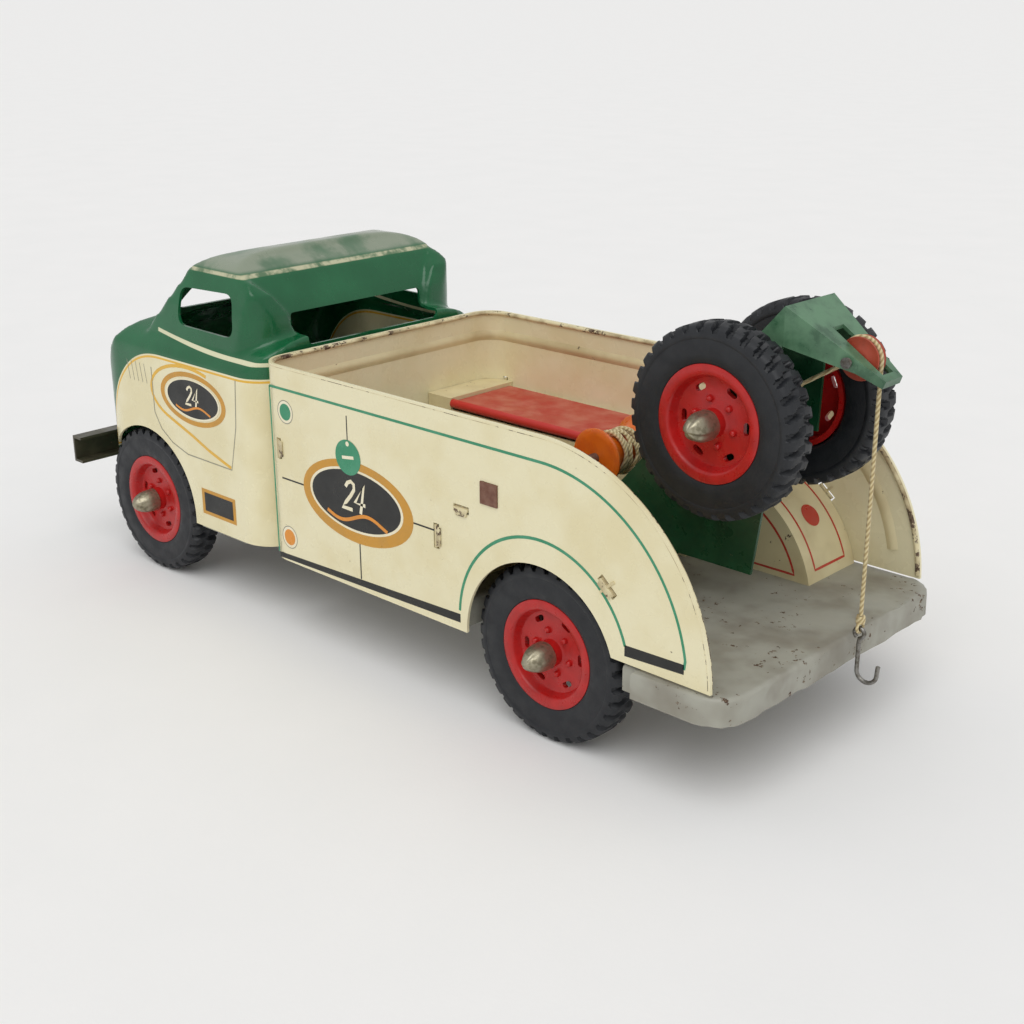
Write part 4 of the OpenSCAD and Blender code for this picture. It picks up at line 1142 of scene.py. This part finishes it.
leaf("emblem_cream", [oval(EX + 0.6, EZ + 0.6, 28, 13.2)], PANEL, ink_cream, 2)
leaf("emblem_black", [oval(EX + 0.6, EZ + 0.6, 26.6, 12.2)], PANEL, ink_black, 3)
leaf("emblem_number", figures(EX + 1, EZ + 2.2, 6.2), PANEL, ink_cream, 4)
flourish = [(EX + 18 - 36 * k / 30, EZ - 6.6 - 2.2 * math.sin(k / 30 * math.pi * 2.2)) for k in range(31)]
leaf("emblem_flourish", stroke(flourish, 1.5), PANEL, ink_orange, 5)
leaf("emblem_lines", stroke([(EX + 33, EZ), (EX + 47, EZ)], 0.7)
     + stroke([(EX - 33, EZ), (EX - 47, EZ)], 0.7)
     + stroke([(EX - 1, EZ - 17), (EX - 1, EZ - 32)], 0.7) + stroke([(101, 61), (101, 71)], 0.6), PANEL,
     ink_black)
leaf("emblem_tag", [oval(101, 54, 7.5, 7.2)], PANEL, ink_green, 4)
leaf("emblem_tag_dot", [oval(101, 59.6, 1.0, 1.0)], PANEL, ink_cream, 5)
leaf("emblem_tag_bar", stroke([(104.5, 53.5), (97.5, 54.5)], 1.3), PANEL, ink_cream, 5)

# %% [markdown]
# On the cab's sides: a gold loop round a smaller oval, a long swoosh to the door's rear corner, the
# door's own thin line, the louvres and a black step plate.

# %% Cab decoration
SIDE = CAB_HALF + 0.02
CX, CZ = 209.6, 56.5
leaf("door_emblem_gold", ring_of(oval(CX, CZ, 24.5, 12.0), oval(CX, CZ, 21.5, 9.8)), SIDE, ink_gold)
leaf("door_emblem_cream", [oval(CX, CZ, 20.2, 9.2)], SIDE, ink_cream, 2)
leaf("door_emblem_black", [oval(CX, CZ, 19.0, 8.4)], SIDE, ink_black, 3)
leaf("door_emblem_number", figures(CX, CZ + 1.2, 4.4), SIDE, ink_cream, 4)
leaf("door_flourish", stroke([(CX + 13 - 26 * k / 24, CZ - 4.6 - 1.4 * math.sin(k / 24 * math.pi * 2.2))
                              for k in range(25)], 1.0), SIDE, ink_orange, 5)
loop = [(CX + 29 * math.cos(math.radians(a)) + 3.0, CZ + 14 * math.sin(math.radians(a)))
        for a in range(120, -61, -9)]
leaf("door_swoosh", stroke(loop + [(212, 39.5), (200, 35), (188, 31.5), (184, 30.4)], 1.5), SIDE,
     ink_yellow)
door = [(240.5, 66), (240.5, 45), (236, 38), (228, 33), (216.6, 29.8), (183.6, 29.6), (178.5, 50),
        (176.7, 71)]
leaf("door_line", stroke(door, 0.5), SIDE, ink_grey, 2)
louvres = []
for k in range(5):
    louvres += stroke([(260 - 3.4 * k, 66.5), (258.5 - 3.4 * k, 57.5)], 0.35)
leaf("louvre_lines", louvres, SIDE, ink_grey)
leaf("step_gold", [[(183, 4), (208, 4), (208, 16), (183, 16)]], SIDE, ink_gold)
leaf("step_black", [[(185, 5.6), (206, 5.6), (206, 14.4), (185, 14.4)]], SIDE, ink_black, 2)

# %% [markdown]
# The wheel housings inside the bed have red pinstripes: a closed outline on the upright inner face and
# another on the curved top, with a plain red dot. The curved ones follow the housing's own arc.

# %% Housing decoration
HOUSING_R, HOUSING_IN = 48.5, 34.0


def on_arc(s, y, lift=0.0):
    """A place on the housing's curved top: s degrees from the vertical towards the rear."""
    r = HOUSING_R + LEAF + lift
    return at(-r * math.sin(math.radians(s)), y, r * math.cos(math.radians(s)))


def band(path, width, lift=0.0):
    """A stripe along (s, y) points on the curved top, sides towards the middle of the turn."""
    points, faces = [], []
    n = len(path)
    scale = math.radians(1) * HOUSING_R
    flat = [Vector((a * scale, y)) for a, y in path]
    for i in range(n):
        ahead = (flat[(i + 1) % n] - flat[i - 1]).normalized()
        across = Vector((-ahead.y, ahead.x)) * width / 2
        for p in (flat[i] + across, flat[i] - across):
            points.append(on_arc(p.x / scale, p.y, lift))
    faces = [(2 * i, 2 * i + 1, 2 * ((i + 1) % n) + 1, 2 * ((i + 1) % n)) for i in range(n)]
    return points, faces


for side, word in ((1, "left"), (-1, "right")):
    rim = [(24 + 2 * k, side * 60.5) for k in range(25)]
    rim += [(72, side * (60.5 - 2.6 * k)) for k in range(1, 9)]
    rim += [(72 - 2 * k, side * 39.7) for k in range(1, 25)]
    top = piece(word + "_housing_outline", *band(rim, 1.0), "truck", ink_red, sharp=60)
    turns = [2 * math.pi * k / 28 for k in range(28)]
    dot = [on_arc(48 + 5.6 * math.cos(a), side * (50 + 4.6 * math.sin(a)), 0.05) for a in turns]
    dot.append(on_arc(48, side * 50, 0.25))
    fan = [(k, (k + 1) % 28, 28) for k in range(28)]
    spot = piece(word + "_housing_dot", dot, fan, "truck", ink_red, sharp=60)
    wedge = arc(0, 0, 42.5, 118, 162, 20) + [(-38, 13.2), (-12, 13.2), (-12, 36)]
    points, faces = [], []
    for quad in stroke(wedge, 1.0, closed=True):
        start = len(points)
        points += [at(x, side * (HOUSING_IN - LEAF), z) for x, z in quad]
        faces.append(tuple(range(start, start + 4)))
    face_line = piece(word + "_housing_side_line", points, faces, "truck", ink_red)
print("housing outlines on both sides")

# %% [markdown]
# The rest of the sheet metal keeps the CAD's own shape. Its edges are softened by half a millimetre,
# because a sheared and folded edge always catches a line of light.

# %% Sheet metal kept from the CAD
def keep(node, made, soft_mm=0.4):
    obj = bpy.data.objects[node]
    obj.data.materials.clear()
    obj.data.materials.append(made)
    if soft_mm:
        modify(obj, "BEVEL", width=soft_mm * MM, segments=2, limit_method="ANGLE",
               angle_limit=math.radians(50))
    return obj


def lid_zones(made, paint):
    split = add(made, "ShaderNodeSeparateXYZ",
                {0: add(made, "ShaderNodeTexCoord").outputs["Object"]}).outputs
    rolled = ramp(made, maths(made, "ABSOLUTE", split[1]), 29.3 * MM, 30.4 * MM, 1, 0)
    return blend(made, rolled, paint, ink("#bf2a22"))


lid_paint = enamel("red_enamel_lid_with_bright_roll", "#b4392c", "#c26a58", chips=0.12, haze=0.9,
                   gloss=0.36, patch_mm=12, zones=lid_zones)
dark_wire = steel("dark_hinge_wire", "#4a4640", "#2e2b27", 0.45)
bracket_grey = enamel("bracket_grey_enamel", "#8f9088", "#7c7d74", chips=0.35, haze=0.7, gloss=0.45)
kept = [("left_toolbox right_toolbox", cream_inside, 0.4), ("left_lid right_lid", lid_paint, 0.3),
        ("boom", boom_green, 0.45), ("bumper", olive, 0.8),
        ("front_axle_bracket rear_axle_bracket", bracket_grey, 0.3),
        ("left_hinge_wire right_hinge_wire", dark_wire, 0),
        ("front_axle rear_axle spare_axle winch_rod", wire_steel, 0.2),
        ("pulley_pin", wire_steel, 0.15), ("left_winch_bush right_winch_bush", brown, 0.4)]
for names, made, soft in kept:
    for node in names.split():
        keep(node, made, soft)

# %% [markdown]
# A plain pale floor and soft light: a bright room all round, and one wide, even lamp high on the
# camera's left that gives the truck its gentle shadow.

# %% Floor and light
size = 40.0
floor = piece("studio_floor", [(-size, -size, 0), (size, -size, 0), (size, size, 0), (-size, size, 0)],
              [(0, 1, 2, 3)], None)
paper, paper_shader = finish("white_paper_floor")
connect(paper, blend(paper, grain(paper, 60, 4), ink("#f4f3f2"), ink("#eeeeed")),
        paper_shader.inputs["Base Color"])
paper_shader.inputs["Roughness"].default_value = 0.85
bump(paper, paper_shader, grain(paper, 2.0, 5), 0.05)
floor.data.materials.append(paper)
room = bpy.data.worlds.new("bright_room")
room.use_nodes = True
room.node_tree.nodes["Background"].inputs["Color"].default_value = (1.0, 1.0, 1.0, 1)
room.node_tree.nodes["Background"].inputs["Strength"].default_value = 0.66
bpy.context.scene.world = room
lamp = bpy.data.lights.new("soft_lamp", "SUN")
lamp.energy = 1.15
lamp.angle = math.radians(50)
lamp_obj = bpy.data.objects.new("soft_lamp", lamp)
lamp_obj.rotation_euler = Vector((-0.35, 0.55, 1.0)).to_track_quat("Z", "Y").to_euler()
bpy.context.scene.collection.objects.link(lamp_obj)
bpy.context.scene.view_settings.view_transform = "Standard"
